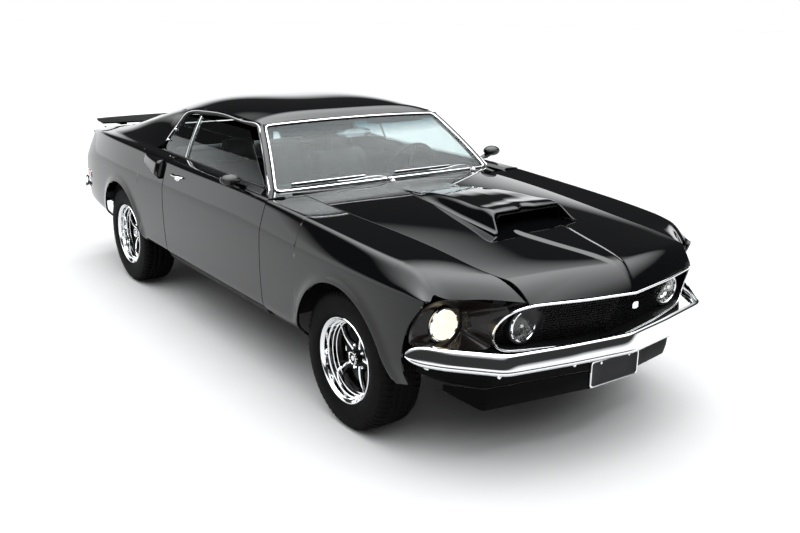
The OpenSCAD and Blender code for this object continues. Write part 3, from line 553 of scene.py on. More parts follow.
def w_at_z(TAB, Y, y, z):
    """Share w at which the section's side reaches height z."""
    out = np.empty(len(y))
    for k, (yy, zz) in enumerate(zip(y, z)):
        S = look(TAB, Y, np.full(NW, yy), np.linspace(0, 1, NW))
        j = np.argmax(S[:, 1] >= zz)
        if j == 0:
            out[k] = 0
        else:
            z0, z1 = S[j - 1, 1], S[j, 1]
            out[k] = (j - 1 + (zz - z0) / (z1 - z0)) / (NW - 1)
    return out


def flare(x, y, z, yc, width=34.0, rise=9.0):
    """Rolled lip round a wheel opening: how far the skin stands out."""
    dy, dz = (y - yc) / ARX, (z - AZ) / ARZ
    r = np.sqrt(dy * dy + dz * dz)
    d = (r - 1) * ARX
    lip = rise * np.exp(-(d / width) ** 2 * 1.2)
    return np.where(dz > -0.25, lip * smoothstep(-0.25, 0.15, dz), 0)

# ---------------------------------------------------------------- painted body panels
def both_sides(fn):
    for side, sg in (("left", 1), ("right", -1)):
        fn(side, sg)


def mirrored(P, sg):
    return P if sg > 0 else flip_x(P)


def nose_y(x):
    return hermite(NOSE, x, 1)


def cheek_y(z):
    return hermite(CHEEK, z, 1)


# Front fender: columns along the car, rows up the side, over the crown and in to the hood seam
def fender(side, sg):
    cols = [(-1790 - 30 * 0, s) for s in np.linspace(1, 0, 26)[:-1]]
    a = np.linspace(0, math.pi, 56)
    ys = [(YF - ARX * math.cos(t), 0.0) for t in a]
    tail = [(y, 0.0) for y in np.linspace(YF + ARX, -712, 28)[1:]]
    cols = cols + ys + tail
    yb = np.array([c[0] for c in cols])
    sh = np.array([c[1] for c in cols])
    n, m = len(cols), 72
    w0 = w_at_z(FRONT, Y_FRONT, yb, low_z(np.where(sh > 0, yb, yb)))
    u = np.linspace(0, 1, m)
    W = w0[:, None] + (1 - w0[:, None]) * u[None, :]
    Y = np.repeat(yb[:, None], m, 1)
    wc = None
    for _ in range(6):
        XZ = look(FRONT, Y_FRONT, Y, W)
        x, z = XZ[..., 0], XZ[..., 1]
        zc = bod(np.clip(Y, -2060, 0), 2)
        ontop = smoothstep(-22, 6, z - (zc - 14)) * (x < bod(np.clip(Y, -2060, 0), 1) + 6)
        ys_ = cheek_y(z)
        yt_ = nose_y(x)
        front = mix(ys_, yt_, smoothstep(0, 1, np.clip((815 - x) / 50, 0, 1)) * (z > 700))
        Y = yb[:, None] + (front - yb[:, None]) * sh[:, None]
    XZ = look(FRONT, Y_FRONT, Y, W)
    x, z = XZ[..., 0].copy(), XZ[..., 1].copy()
    zc, zs = bod(np.clip(Y, -2060, 0), 2), bod(np.clip(Y, -2060, 0), 4)
    up = smoothstep(-0.3, 1.0, (z - zs) / np.maximum(zc - zs, 10))
    ny = nose_y(np.minimum(x, 770))
    drop = 68 * np.maximum(0, 1 - (Y - ny) / 110) ** 2 * up
    z = z - drop * (0.75 + 0.25 * smoothstep(0, 60, 790 - x))
    # rolled lip round the opening
    x = x + flare(x, Y, z, YF, rise=10) * (z < 760)
    P = np.stack([x, Y, z], 2)
    nr = normals(P)
    if nr[..., 2].mean() < 0:
        nr = -nr
    Q = P - nr * 10
    near = np.maximum(0, 1 - u * 14)[None, :, None]
    Q = Q - np.array([4.0, 0, 0]) * near * (P[..., 2:3] > 330)
    P2, Q2 = mirrored(P, sg), mirrored(Q, sg)
    v, f, k = sheet(P2, Q2)
    make("fender_skin_" + side, v, f, PAINT, slot="body_paint", replaces="front_fender_" + side, bevel=1.8, smooth=32)


both_sides(fender)

# ---- Hood with its raised centre
HOOD_Y0 = -738.0


def hood_front(s):
    return -2336 + 98 * np.abs(s) ** 1.35


def hood_surface(s, v):
    y = mix(HOOD_Y0 + 56 * s * s, hood_front(s), v)
    x = (sm(y, 1) - G - 0.4) * s
    zc, ze = rd(y), sm(y, 2)
    d = (y - hood_front(s)) / 110
    z = zc - (zc - ze) * np.abs(s) ** 2.2 - 76 * np.maximum(0, 1 - d) ** 2
    half = np.interp(y, [-2330, -2250, -1790, -1500, -800], [4, 26, 138, 150, 150])
    fade = smoothstep(-2335, -2200, y) * (1 - smoothstep(-1100, -850, y))
    z = z + 7.0 * fade * (1 - smoothstep(-7, 7, np.abs(x) - half))
    return np.stack([x, y, z], -1)


def hood_z(x, y):
    xs = sm(y, 1) - G
    zc = rd(y)
    return zc - (zc - sm(y, 2)) * (np.abs(x) / xs) ** 2.2


s_ = np.sin(np.linspace(-1, 1, 141) * math.pi / 2 * 0.82) / math.sin(math.pi / 2 * 0.82)
s_ = np.linspace(-1, 1, 131)
v_ = np.r_[np.linspace(0, 0.90, 50), np.linspace(0.90, 1, 20)[1:]]
S, V = np.meshgrid(s_, v_, indexing="ij")
P = hood_surface(S, V)
panel("hood_skin", P, 14, PAINT, body="hood", slot="body_paint", replaces="hood", bevel=1.8, smooth=32)

# ---- Hood scoop: a separate moulding with a flange, an open front and a top that falls to the rear
def scoop():
    # Columns: y, foot half width, foot z lift, shoulder half width, shoulder z, centre z
    T = np.array([[-1746, 268, 0, 224, 955, 958], [-1700, 266, 0, 216, 972, 976], [-1671, 262, 0, 212, 985, 990], [-1560, 250, 0, 204, 991, 997],
                  [-1400, 230, 0, 186, 991, 998], [-1200, 204, 0, 160, 982, 988], [-1060, 186, 0, 138, 966, 970], [-990, 176, 0, 122, 952, 954]], float)
    ys = np.linspace(-1671, -990, 60)
    n = 71
    R, Q = [], []
    for y in ys:
        foot, sh, zs, zc = [float(spline(T[:, 0], T[:, c], y)) for c in (1, 3, 4, 5)]
        hz = float(hood_z(foot, y))
        zs = max(zs, hz + 3)
        zc = max(zc, hz + 4)
        # half outline: flange edge, flange root, shoulder, centre
        root = mix(foot, sh, 0.34)
        hr = float(hood_z(root, y))
        pts = np.array([[foot, hz + 1.0], [mix(foot, root, 0.5), mix(hz, hr, .5) + 4], [root, hr + 5], [sh + 5, zs - 8], [sh - 7, zs + 1], [sh * 0.5, mix(zs, zc, 0.8)], [0, zc]])
        half = gauss_rows(resample(pts, n // 2 + 1), 0.9)
        full = np.concatenate([half, (half * [-1, 1])[:-1][::-1]])
        R.append(np.stack([full[:, 0], np.full(len(full), y), full[:, 1]], 1))
        inn = full * [(sh - 5) / sh, 1] - [0, 6]
        Q.append(np.stack([inn[:, 0], np.full(len(full), y), inn[:, 1]], 1))
    R, Q = np.array(R), np.array(Q)
    # the front edge leans: low points reach further forward, and the middle of the top is set back
    k = np.clip(1 - (ys + 1671) / 200, 0, 1)[:, None]
    for A in (R, Q):
        hz = hood_z(A[..., 0], A[..., 1])
        rel = np.clip((A[..., 2] - hz) / 70.0, 0, 1)
        A[..., 1] -= k * (1 - rel) * 75
        A[..., 1] += k * 26 * (1 - smoothstep(0, 60, np.abs(A[..., 0]))) * rel
    v, f, kk = sheet(R, Q)
    make("scoop_shell", v, f, PAINT, body="hood", slot="body_paint", replaces="hood_scoop", bevel=1.5, smooth=32)
    # dark throat behind the mouth
    w, zt = 202.0, 981.0
    fl = [(-1.0, 0), (-1.0, 1), (1.0, 1), (1.0, 0)]
    Rr = []
    for y, kx, kz in ((-1690, 1.0, 1.0), (-1560, 0.97, 0.98), (-1440, 0.5, 0.7)):
        h0 = float(hood_z(w * kx, y)) + 1.5
        top = mix(h0, zt - 6, kz)
        Rr.append([[-w * kx, y, h0], [-w * kx * 0.98, y, top - 12], [-w * kx * 0.9, y, top], [w * kx * 0.9, y, top], [w * kx * 0.98, y, top - 12], [w * kx, y, h0]])
    Rr = np.array(Rr)
    Qr = Rr - np.array([0, 0, 1.0])
    Qr[..., 0] *= 0.985
    v, f, kk = sheet(Rr, Qr)
    make("scoop_throat", v, f, SATIN, body="hood", slot="satin_black")
    gx = np.linspace(-190, 190, 39)
    for r in range(5):
        z = float(hood_z(100, -1600)) + 8 + r * 11
        tube(f"scoop_grille_bar_{r}", [[x, -1600, z] for x in gx], 1.6, SATIN, n=6, body="hood")


scoop()


# ---- Doors: outer skin, jamb walls and inner face as one closed shell
def door(side, sg):
    yb = np.linspace(-706, 550, 80)
    m = 62
    w0 = w_at_z(DOORS, Y_DOOR, yb, np.full(len(yb), 394.0))
    W = w0[:, None] + (1 - w0[:, None]) * np.linspace(0, 1, m)[None, :]
    Y = np.repeat(yb[:, None], m, 1)
    XZ = look(DOORS, Y_DOOR, Y, W)
    P = np.stack([XZ[..., 0], Y, XZ[..., 1]], 2)
    # inner face follows the trim line of the CAD door
    t = (P[..., 2] - 394) / (960 - 394)
    inner = np.interp(t, [0, 0.2, 0.45, 0.68, 0.78, 0.86, 0.93, 1.0], [772, 770, 768, 764, 756, 744, 730, 714])
    lean = np.interp(t, [0, 0.55, 0.7, 0.85, 1.0], [0, 1, 8, 14, 16])
    back = smoothstep(-520, -480, Y)
    xi = np.minimum(mix(inner + 22, inner - lean, back), P[..., 0] - 16)
    zi = P[..., 2] - np.interp(t, [0.9, 1.0], [0, 16])
    Q = np.stack([xi, Y, zi], 2)
    Q[-1, :, 1] -= 14
    P2, Q2 = mirrored(P, sg), mirrored(Q, sg)
    v, f, k = sheet(P2, Q2)
    make("door_shell_" + side, v, f, PAINT, body="door_" + side, slot="body_paint", replaces="door_" + side, bevel=1.8, smooth=32)
    # trim card with sewn flutes, armrest and window crank
    yy = np.linspace(-470, 520, 100)
    zz = np.linspace(410, 900, 40)
    YY, ZZ = np.meshgrid(yy, zz, indexing="ij")
    tt = (ZZ - 394) / 566
    base = np.interp(tt, [0, 0.2, 0.45, 0.68, 0.78, 0.86, 0.93, 1.0], [772, 770, 768, 764, 756, 744, 730, 714]) - np.interp(tt, [0, 0.55, 0.7, 0.85, 1.0], [0, 1, 8, 14, 16])
    flute = 2.2 * np.abs(np.sin(YY / 990 * math.pi * 22)) * (smoothstep(560, 575, ZZ) - smoothstep(745, 760, ZZ))
    edge = np.minimum(smoothstep(-470, -450, YY), 1 - smoothstep(500, 520, YY)) * np.minimum(smoothstep(410, 430, ZZ), 1 - smoothstep(880, 900, ZZ))
    X = base - 0.4 - 5 * edge - flute
    A = np.stack([X, YY, ZZ], 2)
    B = np.stack([base + 3, YY, ZZ], 2)
    v, f, k = sheet(mirrored(A, sg), mirrored(B, sg))
    make("door_card_" + side, v, f, VINYL, body="door_" + side, slot="interior_plastic", smooth=60)
    arm = []
    for y in np.linspace(-120, 330, 24):
        e = math.sin(math.pi * (y + 120) / 450) ** 0.35
        o = pill(44 * e + 4, 42 * e + 6)
        arm.append([[sg * (738 - 4 + p[0]), y, 640 + p[1]] for p in o])
    v, f = sections(arm)
    make("armrest_" + side, v, f, VINYL, body="door_" + side, slot="interior_plastic", smooth=60)
    tube("window_crank_" + side, [[sg * 748, 60, 560], [sg * 738, 60, 560], [sg * 734, 100, 545], [sg * 734, 150, 530]], 5, CHROME, n=10, body="door_" + side)
    v, f = turned([(0, 1), (0, 11), (18, 13), (24, 9), (24, 1)], n=24, centre=(sg * 734, 150, 530), axis="x", side=-sg)
    make("window_crank_knob_" + side, v, f, PLASTIC, body="door_" + side)
    # lock knob on the sill
    v, f = turned([(0, 0.5), (0, 4), (22, 5.5), (26, 4), (27, 0.5)], n=20, centre=(sg * 730, 470, 950), axis="z")
    make("lock_knob_" + side, v, f, CHROME, body="door_" + side)


both_sides(door)


# ---- Quarter panels: lower body with its wheel opening
def quarter(side, sg):
    a = np.linspace(0, math.pi, 56)
    ys = np.r_[np.linspace(558, YR - ARX, 24)[:-1], YR - ARX * np.cos(a), np.linspace(YR + ARX, 2196, 32)[1:]]
    m = 72
    w0 = w_at_z(REAR, Y_REAR, ys, low_z(ys))
    wb = np.interp(ys, Y_REAR, BELT_W)
    W = w0[:, None] + (wb - w0)[:, None] * np.linspace(0, 1, m)[None, :]
    Y = np.repeat(ys[:, None], m, 1)
    XZ = look(REAR, Y_REAR, Y, W)
    x, z = XZ[..., 0].copy(), XZ[..., 1].copy()
    x = x + flare(x, Y, z, YR, rise=10) * (z < 790)
    # tail end turns in
    tuck = smoothstep(2110, 2200, Y)
    x = x - 10 * tuck
    P = np.stack([x, Y, z], 2)
    nr = normals(P)
    if nr[..., 0].mean() < 0:
        nr = -nr
    Q = P - nr * 12
    v, f, k = sheet(mirrored(P, sg), mirrored(Q, sg))
    make("quarter_skin_" + side, v, f, PAINT, slot="body_paint", replaces="quarter_panel_" + side, bevel=1.8, smooth=32)


both_sides(quarter)


# ---- Roof, sail panels and rear deck sides as one shell with its openings cut
def upper():
    def sail_y(t):
        return mix(918.0, 760.0, t)
    nb, nr = 28, 42                       # rows up the sail, rows from rail to centre
    # row parameter: 0..nb = belt to rail, then to centre, mirrored
    c_front = np.linspace(0, 1, 42)       # header to sail edge (roof only)
    c_mid = np.linspace(0, 1, 18)         # sail edge to rear window
    c_win = np.linspace(0, 1, 42)         # beside the rear window
    c_deck = np.linspace(0, 1, 26)        # beside the trunk lid
    rows = []
    for i in range(nb + nr):
        onsail = i < nb
        t = i / (nb - 1) if onsail else 1.0
        q = 0 if onsail else (i - nb + 1) / nr      # 0 at rail, 1 at centre
        s = 1 - q
        ya = sail_y(t) if onsail else mix(760.0, 760.0, q)
        yh = -206 + 26 * s * s
        y = np.r_[mix(yh, ya, c_front)[:-1], mix(ya, 1016.0, c_mid)[:-1], mix(1016.0, 1742.0, c_win)[:-1], mix(1742.0, 2192.0, c_deck)]
        if onsail:
            wb = np.interp(y, Y_REAR, BELT_W)
            XZ = look(REAR, Y_REAR, np.maximum(y, 545), wb + (1 - wb) * t)
            x, z = XZ[:, 0], XZ[:, 1]
            if True:
                f = y < 545
                x = np.where(f, rf(y, 2), x)
                z = np.where(f, rf(y, 3), z)
        else:
            xr, zc, zr = rf(y, 2), rf(y, 1), rf(y, 3)
            # in from the rail to the centre; xe, the window edge, is zero throughout and not used
            xe = np.interp(y, [900, 1016, 1742, 1757, 2200], [0, 0, 0, 0, 0])
            x = xr * s
            z = zc - (zc - zr) * s ** 4 - 34 * np.maximum(0, 1 - (y - yh) / 70) ** 2 * (1 - 0.3 * s)
        rows.append(np.stack([x, y, z], 1))
    half = np.array(rows)                 # (rows, cols, 3)
    # round the rail
    half = gauss_rows(half, 1.1)
    full = np.concatenate([half, flip_x(half)[:-1][::-1]])
    nR, nC = full.shape[:2]
    keep = np.ones((nR - 1, nC - 1), bool)
    iA, iB, iC = 41, 41 + 17, 41 + 17 + 41
    cen = (full[:-1, :-1] + full[1:, 1:]) / 2
    ax = np.abs(cen[..., 0])
    row = np.arange(nR - 1)
    sailrow = (row < nb - 1) | (row >= nR - nb)
    keep[sailrow, :iA] = False            # door and quarter windows
    win = (ax < 548)
    keep[:, iB:iC] &= ~win[:, iB:iC]
    keep[:, iC:] &= ~(ax[:, iC:] < 616)
    P = full.transpose(1, 0, 2)
    nrm = normals(P)
    if nrm[..., 2].mean() < 0:
        nrm = -nrm
    Q = P - nrm * 16
    v, f, k = sheet(P, Q, keep.T)
    make("roof_shell", v, f, PAINT, slot="body_paint", replaces="roof", bevel=1.5, smooth=36)


upper()

# ---------------------------------------------------------------- front end
def smooth_line(pts, n, s):
    return gauss_rows(polyline(pts, n), s)


def bumper(name, bar, zc, out, outline, node):
    p = smooth_line([(x, y) for x, y in bar], 161, 2.0)
    d = np.gradient(p, axis=0)
    d /= np.linalg.norm(d, axis=1, keepdims=True)
    m = np.stack([d[:, 1], -d[:, 0]], 1) * out
    o = np.asarray(outline, float)
    k = np.ones(len(p))
    e = np.linspace(0, 1, 9)
    k[:9] = np.sqrt(1 - (1 - e * 0.97 - 0.03) ** 2)
    k[-9:] = k[:9][::-1]
    R = []
    for i in range(len(p)):
        R.append(np.stack([p[i, 0] + m[i, 0] * o[:, 0] * (0.35 + 0.65 * k[i]), p[i, 1] + m[i, 1] * o[:, 0] * (0.35 + 0.65 * k[i]), zc + o[:, 1] * k[i]], 1))
    v, f = sections(R)
    return make(name, v, f, CHROME, slot="bumper_chrome", replaces=node, smooth=50)


FACE = [(-6, -46), (0, -45), (6, -40), (11, -33), (12, -30), (11.5, -25), (9, -22.5), (9, -20.5), (13, -19.5), (14, -16), (13, -12), (-5, 35), (-8, 40), (-13, 44), (-20, 46),
        (-20, 41), (-12, 37), (4, 0), (8, -20), (6, -32), (-2, -41), (-6, -41)]
BAR_F = [[-872, -1912], [-850, -1950], [-780, -2060], [-618, -2243], [-300, -2308], [0, -2354], [300, -2308], [618, -2243], [780, -2060], [850, -1950], [872, -1912]]
BAR_R = [[-868, 2150], [-850, 2250], [-800, 2312], [-600, 2336], [0, 2354], [600, 2336], [800, 2312], [850, 2250], [868, 2150]]
bumper("bumper_bar_front", BAR_F, 528, 1, FACE, "front_bumper")
bumper("bumper_bar_rear", BAR_R, 545, -1, FACE, "rear_bumper")
for sg, side in ((1, "left"), (-1, "right")):
    for k, (x, y) in enumerate(((300, -2308 + 6), (640, -2222))):
        v, f = turned([(0, 0.5), (0, 9), (5, 8), (8, 3), (8.5, 0.5)], n=20, centre=(sg * x, y - 4, 486), axis="y", side=-1)
        make(f"bumper_bolt_{side}_{k}", v, f, CHROME)
    # small bright lamp housing under the bumper's end
    v, f = sections([[[sg * (790 + 4 * q[0] / 10 + 0), y, 462 + q[1]] for q in pill(26 * w, 15 * w)] for y, w in ((-1962, 0.5), (-1956, 0.9), (-1930, 1), (-1904, 0.9), (-1898, 0.5))])
    make(f"park_lamp_{side}", v, f, CHROME)

# ---- Bright frame round the grille
RING = np.array([(0, -2345, 751), (250, -2308, 756), (420, -2268, 760), (500, -2240, 757), (552, -2202, 736), (588, -2162, 692), (602, -2138, 640), (600, -2130, 600),
                 (585, -2136, 566), (556, -2150, 550), (480, -2172, 546), (300, -2218, 539), (0, -2264, 527)], float)
half = smooth_line(RING, 120, 2.2)
loop = np.concatenate([half, flip_x(half)[::-1][1:-1]])
mouth_c = np.array([0, -2225, 645.0])


def ring_sections(loop, prof):
    """prof = (outward in the mouth's plane, forward)."""
    n = len(loop)
    R = []
    fwd = np.array([0, -0.97, 0.24])
    for i in range(n):
        d = loop[(i + 1) % n] - loop[i - 1]
        d /= np.linalg.norm(d)
        s = np.cross(d, fwd)
        s /= np.linalg.norm(s)
        if np.dot(s, (loop[i] - mouth_c) * [1, 0, 1]) < 0:
            s = -s
        fw = np.cross(d, s)
        if fw[1] > 0:
            fw = -fw
        R.append([loop[i] + s * a + fw * b for a, b in prof])
    return np.array(R)


ringR = ring_sections(loop, [(5, -3), (5.5, 1), (3, 3.5), (0, 4.5), (-3, 3.5), (-4, 1), (-4, -3), (0, -4)])
v, f = sections(ringR, ring=True)
make("grille_frame", v, f, CHROME, slot="bumper_chrome", smooth=50)
# shroud behind the frame
inner = ring_sections(loop, [(-3, -2), (-5, -2)])[:, 0]
back1 = inner * [0.985, 1, 1] + [0, 58, 0]
back1[:, 2] = 645 + (back1[:, 2] - 645) * 0.95
R = []
for i in range(len(inner)):
    a, b = inner[i], back1[i]
    out = (a - mouth_c) * [1, 0, 1]
    out /= np.linalg.norm(out)
    R.append([a, mix(a, b, 0.5), b, b + out * 4, mix(a, b, 0.5) + out * 3, a + out * 3])
v, f = sections(R, ring=True)
make("grille_shroud", v, f, MESH_BLACK, slot="satin_black", smooth=50)


def mouth(s, t):
    T = np.array([[0, -2338, 746], [250, -2298, 752], [505, -2236, 756], [560, -2190, 735]], float)
    L = np.array([[0, -2262, 532], [300, -2218, 540], [540, -2152, 552], [588, -2140, 590]], float)
    x = 588 * abs(s)
    xu = min(x, 560)
    u = np.array([x, hermite(T, xu, 1), hermite(T, xu, 2)])
    l = np.array([x, hermite(L, x, 1), hermite(L, x, 2)])
    p = mix(l, u, t)
    p[0] *= 1 if s >= 0 else -1
    return p


def in_lamp(p, r=80):
    return math.hypot(abs(p[0]) - 452, p[2] - 638) < r


# horizontal blades and fine uprights of the grille, joined to one mesh with an open lamp bay on each side
verts, faces = [], []


def add(v, f):
    k = len(verts)
    verts.extend([list(p) for p in v])
    faces.extend([tuple(int(i) + k for i in q) for q in f])


for r in range(17):
    t = 0.05 + r * 0.0562
    run = []
    for s in np.linspace(-0.96, 0.96, 193):
        p = mouth(s, t) + [0, 56, 0]
        if in_lamp(p):
            if len(run) > 3:
                add(*sections([[q + [0, -3, 0], q + [0, 3, 1.3], q + [0, 3, -1.3]] for q in run]))
            run = []
        else:
            run.append(p)
    if len(run) > 3:
        add(*sections([[q + [0, -3, 0], q + [0, 3, 1.3], q + [0, 3, -1.3]] for q in run]))
for s in np.linspace(-0.95, 0.95, 77):
    run = []
    for t in np.linspace(0.03, 0.97, 40):
        p = mouth(s, t) + [0, 60, 0]
        if in_lamp(p):
            if len(run) > 2:
                add(*sections([[q + [-1.3, 2, 0], q + [1.3, 2, 0], q + [0, -2.5, 0]] for q in run]))
            run = []
        else:
            run.append(p)
    if len(run) > 2:
        add(*sections([[q + [-1.3, 2, 0], q + [1.3, 2, 0], q + [0, -2.5, 0]] for q in run]))
make("grille_mesh", verts, faces, MESH_BLACK, slot="satin_black", replaces="grille")
# dark closing panel behind the mesh
G1 = np.array([[mouth(s, t) + [0, 74, 0] for t in np.linspace(0.0, 1.0, 12)] for s in np.linspace(-1, 1, 61)])
v, f, k = sheet(G1, G1 + [0, 3, 0])
make("grille_back", v, f, MESH_BLACK, slot="satin_black")
# blank badge
tube("grille_badge", [[14, -2336 + 0.1 * (700 - 694), 694 + z] for z in (-15, -11, 0, 11, 15)], pill(36, 6), CHROME, up=(0, 1, 0), scale=[0.55, 0.95, 1, 0.95, 0.55])


# ---- Lamps
def lamp(name, c, r, lit):
    c = np.asarray(c, float)
    ring = [(-6, r + 1), (-2, r + 7), (4, r + 8), (8, r + 5), (9, r + 1), (6, r - 2), (-4, r - 3)]
    v, f = turned(ring, n=72, centre=c, axis="y", side=-1)
    make(name + "_bezel", v, f, CHROME if lit else CHROME, slot="bumper_chrome")
    # bowl
    t = np.linspace(0, 1, 16)
    prof = [(-2 - 40 * math.sin(math.pi / 2 * a), (r - 2) * math.cos(math.pi / 2 * a * 0.97)) for a in t]
    outer = [(x - 2.5, rr + 1.5) for x, rr in prof[::-1]]
    v, f = turned(prof + outer, n=64, centre=c, axis="y", side=-1)
    make(name + "_bowl", v, f, WARM if lit else REFLECTOR, slot="lamp_glass")
    # fluted lens
    n, m = 81, 18
    th = np.linspace(0, 2 * math.pi, n)[:-1]
    R = []
    rows = np.linspace(0.02, 1, m)
    for a in th:
        sec = []
        for q in rows:
            rr = (r - 1) * q
            x, z = rr * math.cos(a), rr * math.sin(a)
            dome = 9 * (1 - q * q)
            fl = 0.8 * abs(math.sin(x / 6.5)) * (1 if q < 0.93 else 0) + 0.5 * (abs((z + 200) % 26 - 13) < 1.6)
            sec.append([x, -(dome + fl + 1), z])
        for q in rows[::-1]:
            rr = (r - 1) * q
            sec.append([rr * math.cos(a), -(9 * (1 - q * q) - 2.2), rr * math.sin(a)])
        R.append(np.array(sec) + c)
    v, f = sections(np.array(R), ring=True)
    make(name + "_lens", v, f, LENS, slot="lamp_glass", smooth=60)
    v, f = turned([(-22, 0.5), (-20, 7), (-12, 10), (-4, 9), (0, 5), (1, 0.5)], n=32, centre=c, axis="y", side=-1)
    make(name + "_bulb", v, f, WARM if lit else REFLECTOR, slot="lamp_glass")


for sg, side in ((1, "left"), (-1, "right")):
    lamp("outer_lamp_" + side, (sg * 715, -1962, 640), 66, True)
    lamp("inner_lamp_" + side, (sg * 452, -2150, 638), 62, False)
    # cup behind each inner lamp
    v, f = turned([(-30, 78), (6, 78), (8, 76), (8, 70), (2, 66), (-30, 66)], n=64, centre=(sg * 452, -2146, 638), axis="y", side=-1)
    make("inner_lamp_cup_" + side, v, f, MESH_BLACK, slot="satin_black")
bpy.data.objects["outer_lamp_left_lens"]
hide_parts("headlights")

# ---- Headlight surrounds
BUCKET = material("lamp_bucket", (0.0045, 0.0030, 0.0024), rough=0.35, coat=0.45, coat_rough=0.06, spec=0.1, coat_ior=1.45, grain=(300, 0.2), bump=(500, 0.05, 0.0003))

HOODED = np.array([[856, -1908, 566], [856, -1926, 640], [836, -1962, 730], [776, -2002, 768], [650, -2098, 766], [566, -2190, 756], [560, -2176, 690],
                   [596, -2128, 610], [588, -2122, 560], [640, -2074, 548], [740, -1990, 546], [828, -1914, 548]], float)
LAMP = np.array([715, -1957, 640.0])


def surround(side, sg):
    cl = np.concatenate([HOODED, HOODED, HOODED, HOODED[:1]])
    dense = polyline(cl, 3 * 144 + 1)
    sm3 = gauss_rows(dense, 3.0)[144:288]
    n = len(sm3)
    R = []
    for p in sm3:
        d = p - LAMP
        a = math.atan2(d[2], d[0] * 0.72 + d[1] * 0.69)
        cup = LAMP + np.array([78 * math.cos(a) * 0.98, 2 - 78 * math.cos(a) * 0.12, 78 * math.sin(a)])
        sec = []
        for s in np.linspace(0, 1, 16):
            q = mix(p, cup, s)
            q = q + [0, 40 * s * (1 - s) + 10 * s * s, 0]
            sec.append(q)
        sec2 = [q + np.array([0, 7, 0]) for q in sec[::-1]]
        R.append(np.array(sec + sec2) * [sg, 1, 1])
    v, f = sections(np.array(R), ring=True)
    make("lamp_surround_" + side, v, f, BUCKET, slot="body_paint", replaces="headlight_surrounds" if sg > 0 else (), smooth=50)


both_sides(surround)

# ---- Valance, plate and chin spoiler
VAL = np.array([[-800, -1900, -1890, 430], [-690, -2030, -1955, 372], [-590, -2140, -2090, 366], [0, -2250, -2215, 366],
                [590, -2140, -2090, 366], [690, -2030, -1955, 372], [800, -1900, -1890, 430]], float)
xs = np.linspace(-800, 800, 161)
cols = np.stack([xs] + [np.interp(xs, VAL[:, 0], VAL[:, c]) for c in (1, 2, 3)], 1)
cols = gauss_rows(cols, 1.6)
P = []
for x, yt, yb, zb in cols:
    row = [(x, yb + 26, zb - 4), (x, yb + 10, zb - 1), (x, yb, zb + 4), (x, mix(yb, yt, 0.3) - 5, mix(zb, 534, 0.25)), (x, mix(yb, yt, 0.6) - 8, mix(zb, 534, 0.5)), (x, yt - 3, mix(zb, 534, 0.85)), (x, yt + 2, 534)]
    P.append(resample(np.array(row, float), 26))
P = np.array(P)
P = np.array([gauss_rows(r, 1.0) for r in P])
v, f, k = sheet(P, P + [0, 5, 0] + 0.0)
make("valance_skin", v, f, SATIN, slot="satin_black", replaces="front_valance")
C = np.array([[-700, -1950, -1950, 340], [-589, -2092, -2077, 262], [0, -2214, -2172, 262], [589, -2092, -2077, 262], [700, -1950, -1950, 340]], float)
xs = np.linspace(-700, 700, 141)
cols = gauss_rows(np.stack([xs] + [np.interp(xs, C[:, 0], C[:, c]) for c in (1, 2, 3)], 1), 1.2)
P = np.array([[(x, yb + (yt - yb) * t - 6 * math.sin(math.pi * t), mix(zb, 366, t)) for t in np.linspace(0, 1, 16)] for x, yt, yb, zb in cols])
v, f, k = sheet(P, P + [0, 6, 0])
make("chin_spoiler", v, f, SATIN, slot="satin_black", replaces="front_spoiler", bevel=1.5)
PLATE = material("plate_blank", (0.010, 0.010, 0.012), rough=0.45, coat=0.05, spec=0.1, grain=(120, 0.2), bump=(300, 0.1, 0.0003))


def plate(name, y, z0, sgn):
    o = pill(300, 118, 6, 12)
    loops = [(1.0, 0.0), (1.0, 2.0), (0.985, 3.4), (0.965, 2.2), (0.5, 2.0), (0.02, 2.0)]
    R = [[(p[0] * a, y - sgn * b, z0 + p[1] * (a if a < 0.9 else 1 - (1 - a) * 2.2)) for p in o] for a, b in loops]
    v, f = sections(R)
    make(name, v, f, PLATE)
    for sx in (-1, 1):
        v, f = turned([(0, 0.4), (0, 7), (3, 6), (4.5, 2), (4.5, 0.4)], n=18, centre=(sx * 89, y - sgn * 1.5, z0 + 44), axis="y", side=-sgn)
        make(f"{name}_screw_{'l' if sx > 0 else 'r'}", v, f, CHROME)
    fr = ring_like = []
    R = [[(p[0] * (1 + a / 150), y - sgn * b, z0 + p[1] * (1 + a / 59)) for a, b in ((-5, 1.5), (-5, 5), (-2, 6.5), (1.5, 5), (2, 0), (-2, 0))] for p in o]
    v, f = sections(R, ring=True)
    make(name + "_frame", v, f, CHROME)


plate("plate_front", -2264.4, 388, 1)
b = [[(x, y, z) for x, z in ((-155, 326), (155, 326), (155, 450), (-155, 450))] for y in (-2264, -2258)]
v, f = sections(b)
make("plate_bracket", v, f, SATIN)

# ---------------------------------------------------------------- glasshouse
def screen(s, t):
    b = np.array([716 * s, -642 + 92 * s * s, 960 - 22 * s * s])
    u = np.array([580 * s, -220 + 26 * s * s, 1246 - 16 * s * s])
    return mix(b, u, t) + np.array([0, -34 * t * (1 - t), 34 * t * (1 - t)])


loop = [screen(s, 0) for s in np.linspace(-1, 1, 81)] + [screen(1, t) for t in np.linspace(0, 1, 41)[1:]] + [screen(s, 1) for s in np.linspace(1, -1, 81)[1:]] + [screen(-1, t) for t in np.linspace(1, 0, 41)[1:-1]]
loop = gauss_rows(np.concatenate([loop[-20:], loop, loop[:20]]), 1.5)[20:-20] + [0, -5, 4]
v, f = sections(sweep(loop, pill(10, 6, 4), up=(0, -0.6, 0.8), ring=True), ring=True)
make("windshield_trim", v, f, CHROME, smooth=60)


def px_(z):
    t = (z - 950) / 275
    return 746 - 138 * t + 34 * t * (1 - t)


